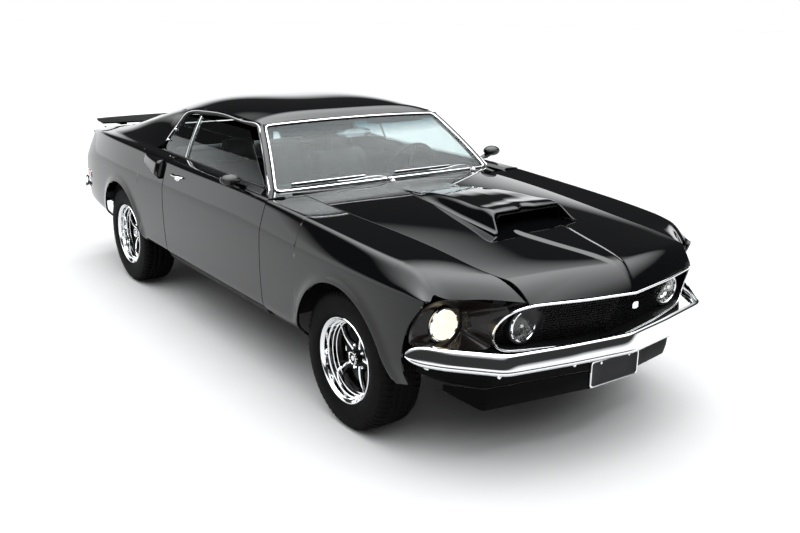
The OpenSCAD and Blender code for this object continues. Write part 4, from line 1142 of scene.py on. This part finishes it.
def body_x(TAB, Y, y, z):
    ya, za = np.array([float(y)]), np.array([float(z)])
    return float(look(TAB, Y, ya, w_at_z(TAB, Y, ya, za))[0, 0])


def greenhouse(side, sg):
    path = np.array([screen(1, t) + [17, 20, -6] for t in np.linspace(-0.05, 0.99, 40)])
    v, f = sections(mirrored(sweep(path, pill(34, 40, 5, 12), up=(0, -0.6, 0.8)), sg))
    make("a_pillar_" + side, v, f, PAINT, slot="body_paint", smooth=50)
    # rail under the roof's edge, down the sail's front edge
    rail = curve([(600, -196, 1226), (607, 0, rf(0.0, 3) - 20), (610, 300, rf(300.0, 3) - 20), (612, 600, rf(600.0, 3) - 18), (615, 735, 1200), (650, 806, 1128), (688, 868, 1052), (716, 912, 985)], 90)
    v, f = sections(mirrored(sweep(rail, pill(16, 30, 5, 7), up=(0.9, 0, 0.4)), sg))
    make("roof_rail_" + side, v, f, SEAL, smooth=50)
    drip = curve([(729, 918, 978), (706, 880, 1040), (664, 812, 1132), (630, 752, 1203), (622, 690, 1222), (619, 500, rf(500.0, 3) - 8), (618, 200, rf(200.0, 3) - 8), (616, -60, rf(-60.0, 3) - 8), (611, -182, 1232),
                  (640, -262, 1172), (682, -372, 1082), (722, -482, 996), (744, -540, 946)], 150)
    v, f = sections(mirrored(sweep(drip, pill(7, 9, 4, 3), up=(0.9, 0, 0.4)), sg))
    make("drip_rail_" + side, v, f, CHROME, smooth=60)
    div = np.array([(px_(z) + 3, mix(518, 545, (z - 962) / 236), z) for z in np.linspace(960, 1206, 24)])
    v, f = sections(mirrored(sweep(div, pill(11, 22, 4, 4), up=(0, 1, 0.1)), sg))
    make("window_divider_" + side, v, f, CHROME, smooth=60)
    for k, (y, z) in enumerate(((866, 1030), (822, 1100))):
        a = np.array([(px_(z) + 4 + 2 * math.sin(math.pi * q), y - 26 * q, z + 2 * q) for q in np.linspace(0, 1, 9)])
        v, f = sections(mirrored(sweep(a, pill(14, 9, 4, 4), up=(0, 0, 1), scale=[0.5, 0.9, 1, 1, 1.25, 1, 1, 0.9, 0.5]), sg))
        make(f"window_latch_{side}_{k}", v, f, CHROME)
    b = np.array([(px_(962) + 6, y, mix(956, 964, (y + 500) / 1400)) for y in np.linspace(-490, 896, 60)])
    v, f = sections(mirrored(sweep(b, pill(12, 12, 4, 4)), sg))
    make("belt_seal_" + side, v, f, SEAL, smooth=60)
    # door handle with its button
    def dx(y, z):
        return body_x(DOORS, Y_DOOR, y, z)
    h = [(dx(y, 893) + o, y, 893 + q) for y, o, q in ((292, 2, -2), (300, 12, 0), (318, 21, 2), (350, 24, 3), (390, 23, 3), (410, 16, 2), (420, 3, 0))]
    v, f = sections(mirrored(sweep(curve(h, 40), pill(20, 9, 5, 4)), sg))
    make("door_handle_" + side, v, f, CHROME, body="door_" + side, smooth=60)
    R = [[(dx(356, 872) - 2 + a, 356 + 34 * p[0] * w, 878 + 15 * p[1] * w) for p in circle(1, 24)] for a, w in ((0, 1), (5, 0.98), (7, 0.9), (8, 0.7), (12, 0.66), (14, 0.5))]
    v, f = sections(mirrored(np.array(R), sg))
    make("handle_plate_" + side, v, f, CHROME, body="door_" + side)
    # air scoop behind the door
    def qx(y, z):
        return body_x(REAR, Y_REAR, y, z)
    ys = np.linspace(604, 900, 38)
    G1, G2 = [], []
    for y in ys:
        q = (y - 604) / 296
        zt, zb = mix(952, 948, q), mix(836, 900, q ** 0.8)
        hgt = 40 * (1 - q) ** 0.75 * (0.6 + 0.4 * min(1, q * 12)) + 1.0
        row, inn = [], []
        for u in np.linspace(0, 1, 26):
            z = mix(zb, zt, u)
            e = max(0.0, 1 - abs(2 * u - 1) ** 5) ** 0.6
            x = qx(y, z) + hgt * e
            row.append((x, y, z))
            inn.append((max(x - 5 * e - 0.5, qx(y, z) - 1.5), y + (0 if q else 2), z + 3 * (0.5 - u)))
        G1.append(row)
        G2.append(inn)
    v, f, k = sheet(mirrored(np.array(G1), sg), mirrored(np.array(G2), sg))
    make("side_scoop_" + side, v, f, PAINT, slot="body_paint", smooth=50)
    m = np.array(G1)[2] * 1.0
    m[:, 0] -= 5
    inside = np.array([[mix(np.array((qx(612, p[2]) - 1, 612, p[2])), p, s) for p in m] for s in (0, 0.5, 1)])
    v, f, k = sheet(mirrored(inside, sg), mirrored(inside + [0, 3, 0], sg))
    make("scoop_mouth_" + side, v, f, MESH_BLACK, smooth=50)
    # sill strip along the door's lower edge
    ys = np.linspace(-690, 545, 60)
    edge = look(DOORS, Y_DOOR, ys, np.full(60, 0.02))
    st = np.stack([edge[:, 0] + 1, ys, edge[:, 1] + 4], 1)
    v, f = sections(mirrored(sweep(st, pill(5, 10, 4, 2)), sg))
    make("sill_strip_" + side, v, f, CHROME, body="door_" + side, smooth=60)


both_sides(greenhouse)

# header rail above the windshield, headliner and sun visors
hd = np.array([screen(s, 1) + [0, 14, -10] for s in np.linspace(-1, 1, 61)])
v, f = sections(sweep(hd, pill(30, 34, 5, 10), up=(0, -0.5, 0.85)))
make("header_rail", v, f, HEADLINER, smooth=60)
G1 = np.array([[(x, y, rf(y, 1) - 34 - 52 * (abs(x) / 580) ** 3 - 3 * math.cos(y / 26.0)) for x in np.linspace(-580, 580, 25)] for y in np.linspace(-176, 1000, 60)])
v, f, k = sheet(G1, G1 + [0, 0, 3])
make("headliner", v, f, HEADLINER, smooth=60)
for sg, side in ((1, "left"), (-1, "right")):
    R = []
    for i, a in enumerate(np.linspace(-1, 1, 25)):
        w = (1 - abs(a) ** 6) ** 0.5 + 0.02
        R.append([(sg * 330 + 205 * a, -146 + 62 * p[0] * w, 1206 + 4 * 0 + 9 * p[1] * w + 30 * p[0] * 0.35) for p in circle(1, 20)])
    v, f = sections(np.array(R))
    make("sun_visor_" + side, v, f, HEADLINER, smooth=60)
# inside mirror
R = [[(118 * p[0] * w, -196 + a, 1152 + 27 * p[1] * w) for p in pill(2, 2, 6, 0.9)] for a, w in ((-12, 0.6), (-11, 0.9), (-6, 0.98), (2, 1), (5, 0.97), (5.5, 0.93))]
v, f = sections(np.array(R))
make("inside_mirror", v, f, CHROME, smooth=50)
tube("inside_mirror_stalk", curve([(0, -204, 1160), (0, -205, 1190), (0, -196, 1218), (0, -186, 1234)], 16), 5, CHROME)

# cowl louvres and wipers
verts, faces = [], []
for x in np.arange(-590, 591, 14.0):
    s = x / 618
    y0 = -708 + 56 * s * s + 12
    y1 = -656 + 88 * (x / 724) ** 2 - 10
    z0 = 948 - 12 * s * s
    R = [[(x + 4 * p[0], mix(y0, y1, t), z0 + 3.2 * (p[1] * w)) for p in circle(1, 8)] for t, w in ((0, 0.1), (0.12, 0.9), (0.5, 1), (0.88, 0.9), (1, 0.1))]
    add(*sections(np.array(R)))
make("cowl_louvres", verts, faces, PAINT, slot="body_paint")
for k, (px0, tipx) in enumerate(((-60, -628), (550, -10))):
    yp = -684 + 56 * (px0 / 618) ** 2
    a = curve([(px0, yp, 956), (px0 - 30, yp + 2, 972), (px0 - 250, -668, 984), (mix(px0, tipx, 0.62), -664, 986)], 40)
    a[:, 1] = np.maximum(a[:, 1], -690 + 56 * (a[:, 0] / 618) ** 2)
    tube(f"wiper_arm_{k}", a, pill(9, 5, 4, 2), CHROME, scale=np.linspace(1.3, 0.8, 40))
    xs = np.linspace(mix(px0, tipx, 0.26), tipx, 50)
    bl = np.array([screen(x / 716, 0.055) + [0, -6, 7] for x in xs])
    tube(f"wiper_blade_{k}", bl, pill(6, 12, 4, 2), SEAL, up=(0, -0.6, 0.8))
    tube(f"wiper_bow_{k}", bl + [0, -3, 8], pill(5, 5, 4, 2), CHROME, up=(0, -0.6, 0.8))
    v, f = turned([(-12, 1), (-12, 15), (-4, 16), (4, 13), (8, 8), (10, 1)], n=32, centre=(px0, yp, 956), axis="z", side=1)
    make(f"wiper_pivot_{k}", v, f, CHROME)

# ---------------------------------------------------------------- interior
def cushion(name, c, w, l, th, tilt, flutes, body="body", crown=1.0, bolster=22, taper=0.0):
    """Sewn cushion: a crowned top with channels along it, a raised bolster round the edge and a piped seam."""
    ca, sa = math.cos(math.radians(tilt)), math.sin(math.radians(tilt))
    R = []
    n = 56
    ang = 2 * np.pi * np.arange(n) / n
    for b in np.linspace(-1, 1, 44):
        k = (1 - min(1, abs(b)) ** 5) ** (1 / 2.6)
        ww = w / 2 * (1 - taper * (b + 1) / 2)
        row = []
        for a in ang:
            cx = math.copysign(abs(math.cos(a)) ** 0.42, math.cos(a))
            cz = math.copysign(abs(math.sin(a)) ** 0.62, math.sin(a))
            x = ww * cx * (0.86 + 0.14 * k)
            z = th / 2 * cz * (0.3 + 0.7 * k)
            if math.sin(a) > 0:
                f = abs(cx) < 0.70 and abs(b) < 0.80
                edge = min(1, (0.72 - abs(cx)) / 0.05) * min(1, (0.82 - abs(b)) / 0.05) if f else 0
                z += edge * (-7 - 5 * (1 - abs(math.sin(math.pi * flutes * (cx + 1) / 1.44))) ** 2)
                z += bolster * 0.5 * math.exp(-((abs(cx) - 0.86) / 0.1) ** 2) * k
                z += 16 * crown * (1 - cx * cx) * (1 - b * b)
            z += 2.5 * math.exp(-((cz - 0.35) / 0.06) ** 2)
            y = l / 2 * b
            row.append((c[0] + x, c[1] + y * ca - z * sa, c[2] + y * sa + z * ca))
        R.append(row)
    v, f = sections(np.array(R))
    o = make(name, v, f, VINYL, body=body, slot="seat_vinyl", smooth=50)
    return o


for sg, side in ((1, "left"), (-1, "right")):
    x = sg * 370
    a = cushion("seat_cushion_" + side, (x, 158, 372), 500, 450, 118, 4, 7)
    if sg > 0:
        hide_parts("front_seats")
    cushion("seat_back_" + side, (x, 492, 672), 490, 520, 96, 68, 7, taper=0.14)
    cushion("head_rest_" + side, (x, 566, 980), 210, 132, 58, 78, 2, bolster=4, crown=0.8)
    for k in (-50, 50):
        tube(f"head_rest_post_{side}_{'a' if k < 0 else 'b'}", [(x + k, 548, 880), (x + k, 556, 915), (x + k, 562, 944)], 6, CHROME)
    for k in (-150, 150):
        tube(f"seat_rail_{side}_{'a' if k < 0 else 'b'}", [(x + k, y, 296) for y in (-60, 0, 150, 300, 340)], pill(26, 18, 4, 5), STEEL)
    a = cushion("rear_cushion_" + side, (sg * 285, 950, 536), 500, 330, 110, 8, 6)
    if sg > 0:
        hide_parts("rear_seat")
    cushion("rear_back_" + side, (sg * 278, 1216, 716), 470, 400, 76, 66, 6)

# steering wheel
WC = np.array([370, -236, 906.0])
AX = np.array([0, math.sin(math.radians(65)), math.cos(math.radians(65))])
UX, UY = np.array([1, 0, 0.0]), np.array([0, math.cos(math.radians(65)), -math.sin(math.radians(65))])
RW = frame_wheel = 190 - 11
ring = np.array([WC + UX * RW * math.cos(a) + UY * RW * math.sin(a) for a in 2 * np.pi * np.arange(160) / 160])
o = circle(1, 14)
R = []
for i, p in enumerate(ring):
    rad = (p - WC) / np.linalg.norm(p - WC)
    g = 10.5 - 0.8 * (1 if i % 4 == 0 else 0)
    R.append([p + rad * q[0] * g + AX * q[1] * g for q in o])
v, f = sections(np.array(R), ring=True)
make("steering_rim", v, f, PLASTIC, body="steering_wheel", slot="interior_plastic", replaces="steering_wheel", smooth=70)
for k, a in enumerate((30, 150, 270)):
    d = UX * math.cos(math.radians(a)) - UY * math.sin(math.radians(a)) * (1 if a != 270 else -1) * -1
    d = UX * math.cos(math.radians(a)) + UY * math.sin(math.radians(a))
    t = np.cross(AX, d)
    R = [[WC + d * r + t * q[0] * w + AX * (q[1] * 2.6 + h) for q in pill(2, 2, 4, 0.9)] for r, w, h in ((26, 17, -2), (60, 15, 0), (110, 12, 0), (150, 12, 0), (176, 15, 0))]
    v, f = sections(np.array(R))
    make(f"steering_spoke_{k}", v, f, STEEL, body="steering_wheel", smooth=50)
R = [[WC + UX * r * math.cos(a) + UY * r * math.sin(a) + AX * h for a in 2 * np.pi * np.arange(48) / 48] for r, h in ((30, -20), (42, -14), (43, 4), (40, 9), (34, 12), (20, 12.5), (18, 9), (2, 9))]
v, f = sections(np.array(R))
make("steering_hub", v, f, PLASTIC, body="steering_wheel", slot="interior_plastic")

# dashboard with two hooded pods
G1, G2 = [], []
for x in np.linspace(-662, 662, 133):
    pod = math.exp(-((abs(x) - 370) / 190) ** 4)
    prof = [(-556, 700), (-556, 905), (-540, 916), (-470, 926 + 3 * pod), (-400, 930 + 5 * pod), (-345, 926 + 4 * pod), (-312 - 4 * pod, 908), (-306 + 8 * (1 - pod), 884), (-330 + 26 * (1 - pod), 868),
            (-338 + 26 * (1 - pod), 800), (-330, 742), (-360, 704), (-450, 702)]
    G1.append([(x, y, z) for y, z in resample(np.array(prof, float), 60)])
G1 = np.array(G1)
G1 = gauss_rows(G1, 1.2)
v, f = sections(G1)
make("dash_body", v, f, PLASTIC, slot="interior_plastic", replaces="dashboard", smooth=50)
for k, (x, r) in enumerate(((290, 52), (420, 52), (508, 30), (220, 30))):
    v, f = turned([(-4, 0.5), (-4, r - 3), (0, r - 3), (5, r), (9, r + 2), (4, r + 5), (-4, r + 4)], n=48, centre=(x, -332, 842), axis="y", side=1)
    make(f"dial_bezel_{k}", v, f, CHROME)
    verts, faces = [], []
    for a in np.arange(-130, 131, 13):
        ca, sa = math.cos(math.radians(90 - a)), math.sin(math.radians(90 - a))
        R = [[(x + ca * rr - sa * q[0] * 0.9, -325 + q[1] * 0.6, 842 + sa * rr + ca * q[0] * 0.9) for q in circle(1, 4)] for rr in (r * 0.72, r * 0.88)]
        add(*sections(np.array(R)))
    R = [[(x + rr * 0.5 - q[0] * 1.2, -323 + q[1] * 0.6, 842 + rr * 0.6 + q[0] * 1.0) for q in circle(1, 6)] for rr in (-8, r * 0.8)]
    add(*sections(np.array(R)))
    make(f"dial_marks_{k}", verts, faces, WHITE)
tube("steering_column", [WC - AX * d for d in (14, 40, 70, 90)], [(q[0], q[1]) for q in circle(30, 24)], PLASTIC, up=(1, 0, 0), scale=[0.9, 1, 1.05, 1.05])
tube("gear_lever", curve([(0, -60, 450), (0, -64, 520), (8, -80, 600), (10, -84, 640)], 20), 6, CHROME)
v, f = turned([(-18, 1), (-17, 9), (-8, 17), (2, 20), (12, 17), (19, 8), (20, 1)], n=32, centre=(10, -85, 655), axis="z", side=1)
make("gear_knob", v, f, PLASTIC)
# console and carpeted mats
R = [[(70 * p[0] * w, y, 455 + 26 * p[1] + h) for p in pill(2, 2, 5, 0.5)] for y, w, h in ((-290, 0.6, 0), (-280, 1, 6), (-100, 1, 10), (200, 1.05, 14), (420, 1.05, 18), (436, 0.8, 16))]
v, f = sections(np.array(R))
make("console", v, f, PLASTIC, slot="interior_plastic", smooth=50)
for sg, side in ((1, "left"), (-1, "right")):
    for k, (y0, y1) in enumerate(((-540, -120), (500, 740))):
        G1 = np.array([[(sg * (150 + 420 * u), mix(y0, y1, v_), 277 + 2.5 * math.sin(40 * u) * math.sin(30 * v_)) for u in np.linspace(0, 1, 40)] for v_ in np.linspace(0, 1, 30)])
        v, f, kk = sheet(G1, G1 + [0, 0, -3])
        make(f"floor_mat_{side}_{k}", v, f, CARPET)

# ---------------------------------------------------------------- tail
for sg, side in ((1, "left"), (-1, "right")):
    # side marker with its bezel
    y0, z0 = 2050, 640
    x0 = body_x(REAR, Y_REAR, y0, z0)
    sl = (body_x(REAR, Y_REAR, y0 + 40, z0) - body_x(REAR, Y_REAR, y0 - 40, z0)) / 80
    for nm, W, H, hs, mt in (("bezel", 124, 52, ((-3, 1), (4, 1), (6, 0.95)), CHROME), ("lens", 104, 36, ((3, 1), (8, 0.97), (9.5, 0.85), (9.8, 0.3)), REDLENS)):
        R = [[(sg * (x0 + h + sl * p[0] * k), y0 + p[0] * k, z0 + p[1] * k) for p in pill(W, H, 5, 10)] for h, k in hs]
        v, f = sections(np.array(R))
        make(f"marker_{nm}_{side}", v, f, mt)

# ---------------------------------------------------------------- wheels
def rim_profile():
    face = [(104, 198), (105, 201.5), (102, 204), (96, 203), (92, 196), (90, 192.6), (40, 191), (36, 178), (-52, 178), (-58, 191), (-88, 192.5), (-92, 196), (-96, 203), (-102, 203.5),
            (-104, 200), (-98, 190), (-60, 187), (-54, 174), (10, 172), (12, 166), (34, 166.5), (36, 170), (52, 171), (54, 175.5), (72, 177), (75, 184), (92, 186), (97, 190), (100, 195)]
    return face


RIMP = rim_profile()


def wheel(name, body, node_rim, node_tyre, sg, yc, phase):
    c = (sg * 755, yc, 332)
    v, f = turned(RIMP, n=96, centre=c, side=sg)
    make("rim_" + name, v, f, RIMCHROME, body=body, slot="wheel_chrome", replaces=node_rim, smooth=30)
    # centre disc profile, dark and dished; it is worked out here but not built
    v, f = turned([(4, 1), (4, 74), (10, 96), (2, 168), (8, 168), (18, 96), (24, 76), (27, 40), (27, 1)], n=96, centre=c, side=sg)
    # spokes
    def local(pts, ang):
        p = np.asarray(pts, float)
        ca, sa = math.cos(ang), math.sin(ang)
        q = np.empty_like(p)
        q[..., 0] = c[0] + sg * p[..., 0]
        q[..., 1] = c[1] + p[..., 1] * ca - p[..., 2] * sa
        q[..., 2] = c[2] + p[..., 1] * sa + p[..., 2] * ca
        return q
    vs, fs, vr, fr_ = [], [], [], []
    for k in range(5):
        ang = phase + 2 * math.pi * k / 5
        R, R2 = [], []
        for r in np.linspace(44, 170, 26):
            u = (r - 44) / 126
            w = 27 - 9 * math.sin(math.pi * u) ** 0.8 + 8 * u ** 4 + 7 * (1 - u) ** 4
            x0 = 20 - 6 * u + 9 * math.sin(math.pi * u * 0.9)
            R.append([[x0 - 8, -w, r], [x0 + 1, -w, r], [x0 + 4, -w + 4, r], [x0 + 1.5, -w + 9, r], [x0 + 1.5, w - 9, r], [x0 + 4, w - 4, r], [x0 + 1, w, r], [x0 - 8, w, r]])
            hw = 6.0 + 2.5 * (1 - u)
            R2.append([[x0 + 0.5, -hw, r], [x0 + 7.5, -hw + 1.5, r], [x0 + 9.5, -hw * 0.3, r], [x0 + 9.5, hw * 0.3, r], [x0 + 7.5, hw - 1.5, r], [x0 + 0.5, hw, r]])
        v1, f1 = sections(local(R, ang))
        fs += [tuple(int(i) + len(vs) for i in q) for q in f1]
        vs += v1.tolist()
        v1, f1 = sections(local(R2, ang))
        fr_ += [tuple(int(i) + len(vr) for i in q) for q in f1]
        vr += v1.tolist()
    make("spokes_" + name, vs, fs, SATIN, body=body, slot="wheel_chrome", smooth=40)
    make("spoke_ridges_" + name, vr, fr_, RIMCHROME, body=body, slot="wheel_chrome", smooth=40)
    v, f = turned([(-14, 44), (-14, 74), (12, 76), (18, 70), (22, 50), (22, 30), (16, 28), (-10, 28)], n=64, centre=c, side=sg)
    make("hub_" + name, v, f, SATIN, body=body, slot="wheel_chrome")
    v, f = turned([(6, 0.5), (6, 27), (46, 29), (52, 31), (57, 29.5), (58, 26), (54, 24), (53, 14), (55, 12), (56, 0.5)], n=64, centre=c, side=sg)
    make("centre_cap_" + name, v, f, RIMCHROME, body=body, slot="wheel_chrome")
    v, f = turned([(53, 13.5), (53.2, 24.2), (55.2, 23.6), (55, 13.5)], n=48, centre=c, side=sg)
    make("cap_inlay_" + name, v, f, SATIN, body=body, slot="wheel_chrome")
    vs, fs = [], []
    for k in range(5):
        ang = phase + 2 * math.pi * (k + 0.5) / 5
        nut = []
        for x, r in ((12, 9.5), (30, 9.5), (35, 7), (38, 3.5)):
            nut.append([[x, r * math.cos(math.pi / 3 * j), 57 + r * math.sin(math.pi / 3 * j)] for j in range(6)])
        v1, f1 = sections(local(nut, ang))
        fs += [tuple(int(i) + len(vs) for i in q) for q in f1]
        vs += v1.tolist()
    make("lug_nuts_" + name, vs, fs, RIMCHROME, body=body, slot="wheel_chrome")
    v, f = turned([(-34, 30), (-34, 150), (-30, 152), (-12, 152), (-8, 148), (-8, 30)], n=72, centre=c, side=sg)
    make("brake_" + name, v, f, CHASSIS, body=body, slot="engine_iron")
    v, f = turned([(90, 2.0), (90, 3.6), (74, 4.2), (74, 2.0)], n=12, centre=(c[0], c[1] + 0, c[2]), side=sg)
    # tyre with tread blocks
    sec = np.array([(-0.78, 193), (-0.81, 200), (-0.90, 208), (-0.965, 222), (-0.995, 243), (-1.0, 262), (-0.985, 284), (-0.955, 303), (-0.90, 317), (-0.83, 325.5), (-0.74, 329.8),
                    (-0.62, 331.2), (-0.4, 332), (0, 332), (0.4, 332), (0.62, 331.2), (0.74, 329.8), (0.83, 325.5), (0.90, 317), (0.955, 303), (0.985, 284), (1.0, 262), (0.995, 243),
                    (0.965, 222), (0.90, 208), (0.81, 200), (0.78, 193)], float)
    sec[:, 0] *= 113
    m = 66
    o = resample(sec, m)
    x, r = o[:, 0], o[:, 1]
    n = 64 * 5
    th = 2 * math.pi * np.arange(n) / n
    ph = (np.arange(n) % 5) / 5.0
    X = np.repeat(x[None], n, 0)
    Rr = np.repeat(r[None], n, 0)
    tread = (Rr > 318)
    ax = np.abs(X)
    groove = ((np.abs(ax - 22) < 4.5) | (np.abs(ax - 58) < 4.5))
    cut = (((ph[:, None] + np.sign(X) * 0.25 * (ax > 62)) % 1.0) < 0.26) & (ax > 62)
    cut2 = (((ph[:, None] + 0.5 + X / 90) % 1.0) < 0.14) & (ax < 54) & (ax > 26)
    depth = np.where(tread & groove, 7.0, 0) + np.where((Rr > 309) & cut, 6.0, 0) + np.where(tread & cut2, 4.0, 0)
    depth = np.minimum(depth, 7.5)
    # raised and sunk rings on the side wall
    wall = 1.1 * np.exp(-((Rr - 226) / 2.2) ** 2) + 0.9 * np.exp(-((Rr - 300) / 2.0) ** 2) + 0.8 * np.exp(-((Rr - 212) / 1.6) ** 2)
    Rr = Rr - depth
    X = X + np.sign(X) * (wall * (Rr < 306)) * 0.8 - np.sign(X) * 0.8
    Y = Rr * np.cos(th)[:, None]
    Z = Rr * np.sin(th)[:, None]
    # inner surface of the casing
    inn = o.copy()
    inn = np.stack([x * 0.93, np.maximum(r - 12, 192)], 1)[::-6]
    XI = np.repeat(inn[None, :, 0], n, 0)
    YI = inn[None, :, 1] * np.cos(th)[:, None]
    ZI = inn[None, :, 1] * np.sin(th)[:, None]
    A = np.stack([np.concatenate([X, XI], 1) * sg, np.concatenate([Y, YI], 1), np.concatenate([Z, ZI], 1)], 2) + np.asarray(c, float)
    v, f = sections(A, ring=True)
    make("tyre_" + name, v, f, RUBBER, body=body, slot="tyre_rubber", replaces=node_tyre, smooth=34)


for end, yc in (("front", YF), ("rear", YR)):
    for side, sg in (("left", 1), ("right", -1)):
        wheel(f"{end}_{side}", f"{end}_wheel_{side}", f"{end}_rim_{side}", f"{end}_tyre_{side}", sg, yc, math.radians(90 if end == "front" else 72))

# ---------------------------------------------------------------- floor, light and camera
def floor_disc():
    n, r = 96, 60.0
    v = [(0, 0, 0)] + [(r * math.cos(2 * math.pi * i / n), r * math.sin(2 * math.pi * i / n), 0) for i in range(n)]
    me = bpy.data.meshes.new("studio_floor")
    me.from_pydata(v, [], [(0, 1 + i, 1 + (i + 1) % n) for i in range(n)])
    o = bpy.data.objects.new("studio_floor", me)
    scene.collection.objects.link(o)
    m = material("studio_floor", (0.345, 0.345, 0.345), rough=0.75, spec=0.05, grain=(3, 0.01), bump=(40, 0.02, 0.0005))
    me.materials.append(m)
    return o


floor_disc()
world = bpy.data.worlds.new("studio")
scene.world = world
world.use_nodes = True
wt = world.node_tree
wt.nodes.clear()
w_out = wt.nodes.new("ShaderNodeOutputWorld")
w_tc = wt.nodes.new("ShaderNodeTexCoord")
w_sep = wt.nodes.new("ShaderNodeSeparateXYZ")
w_ramp = wt.nodes.new("ShaderNodeValToRGB")
wt.links.new(w_tc.outputs["Generated"], w_sep.inputs[0])
wt.links.new(w_sep.outputs[2], w_ramp.inputs[0])
# Brightness of the studio by the sine of the elevation, over 10
SKY = [(0.0, 0.16), (0.13, 0.16), (0.22, 0.004), (0.44, 0.004), (0.50, 0.10), (0.62, 0.30), (0.85, 0.55), (1.0, 0.80)]
while len(w_ramp.color_ramp.elements) > 1:
    w_ramp.color_ramp.elements.remove(w_ramp.color_ramp.elements[0])
w_ramp.color_ramp.elements[0].position = SKY[0][0]
for i, (pos, v) in enumerate(SKY):
    e = w_ramp.color_ramp.elements[0] if i == 0 else w_ramp.color_ramp.elements.new(pos)
    e.color = (v * 0.985, v, v * 1.01, 1)
w_bg = wt.nodes.new("ShaderNodeBackground")
w_bg.inputs[1].default_value = 10.0
wt.links.new(w_ramp.outputs[0], w_bg.inputs[0])
w_white = wt.nodes.new("ShaderNodeBackground")
w_white.inputs[0].default_value = (1, 1, 1, 1)
w_white.inputs[1].default_value = 1.0
w_lp = wt.nodes.new("ShaderNodeLightPath")
w_mix = wt.nodes.new("ShaderNodeMixShader")
wt.links.new(w_lp.outputs["Is Camera Ray"], w_mix.inputs[0])
wt.links.new(w_bg.outputs[0], w_mix.inputs[1])
wt.links.new(w_white.outputs[0], w_mix.inputs[2])
wt.links.new(w_mix.outputs[0], w_out.inputs[0])
scene.view_settings.view_transform = "Standard"

cam_data = bpy.data.cameras.new("camera")
cam = bpy.data.objects.new("camera", cam_data)
scene.collection.objects.link(cam)
scene.camera = cam
cam_data.sensor_width = 36.0
cam_data.lens = 907.67043 * 36 / 800
cam_data.dof.use_dof = False
cam_data.clip_start, cam_data.clip_end = 0.05, 200
az, el, roll = math.radians(-36.179856), math.radians(16.541392), math.radians(0.820313)
back = Vector((math.sin(az) * math.cos(el), -math.cos(az) * math.cos(el), math.sin(el)))
right = Vector((0, 0, 1)).cross(back).normalized()
up = back.cross(right)
r2 = math.cos(roll) * right + math.sin(roll) * up
u2 = -math.sin(roll) * right + math.cos(roll) * up
cam.matrix_world = Matrix(((r2.x, u2.x, back.x, -2.919058), (r2.y, u2.y, back.y, -4.667631), (r2.z, u2.z, back.z, 1.920560), (0, 0, 0, 1)))
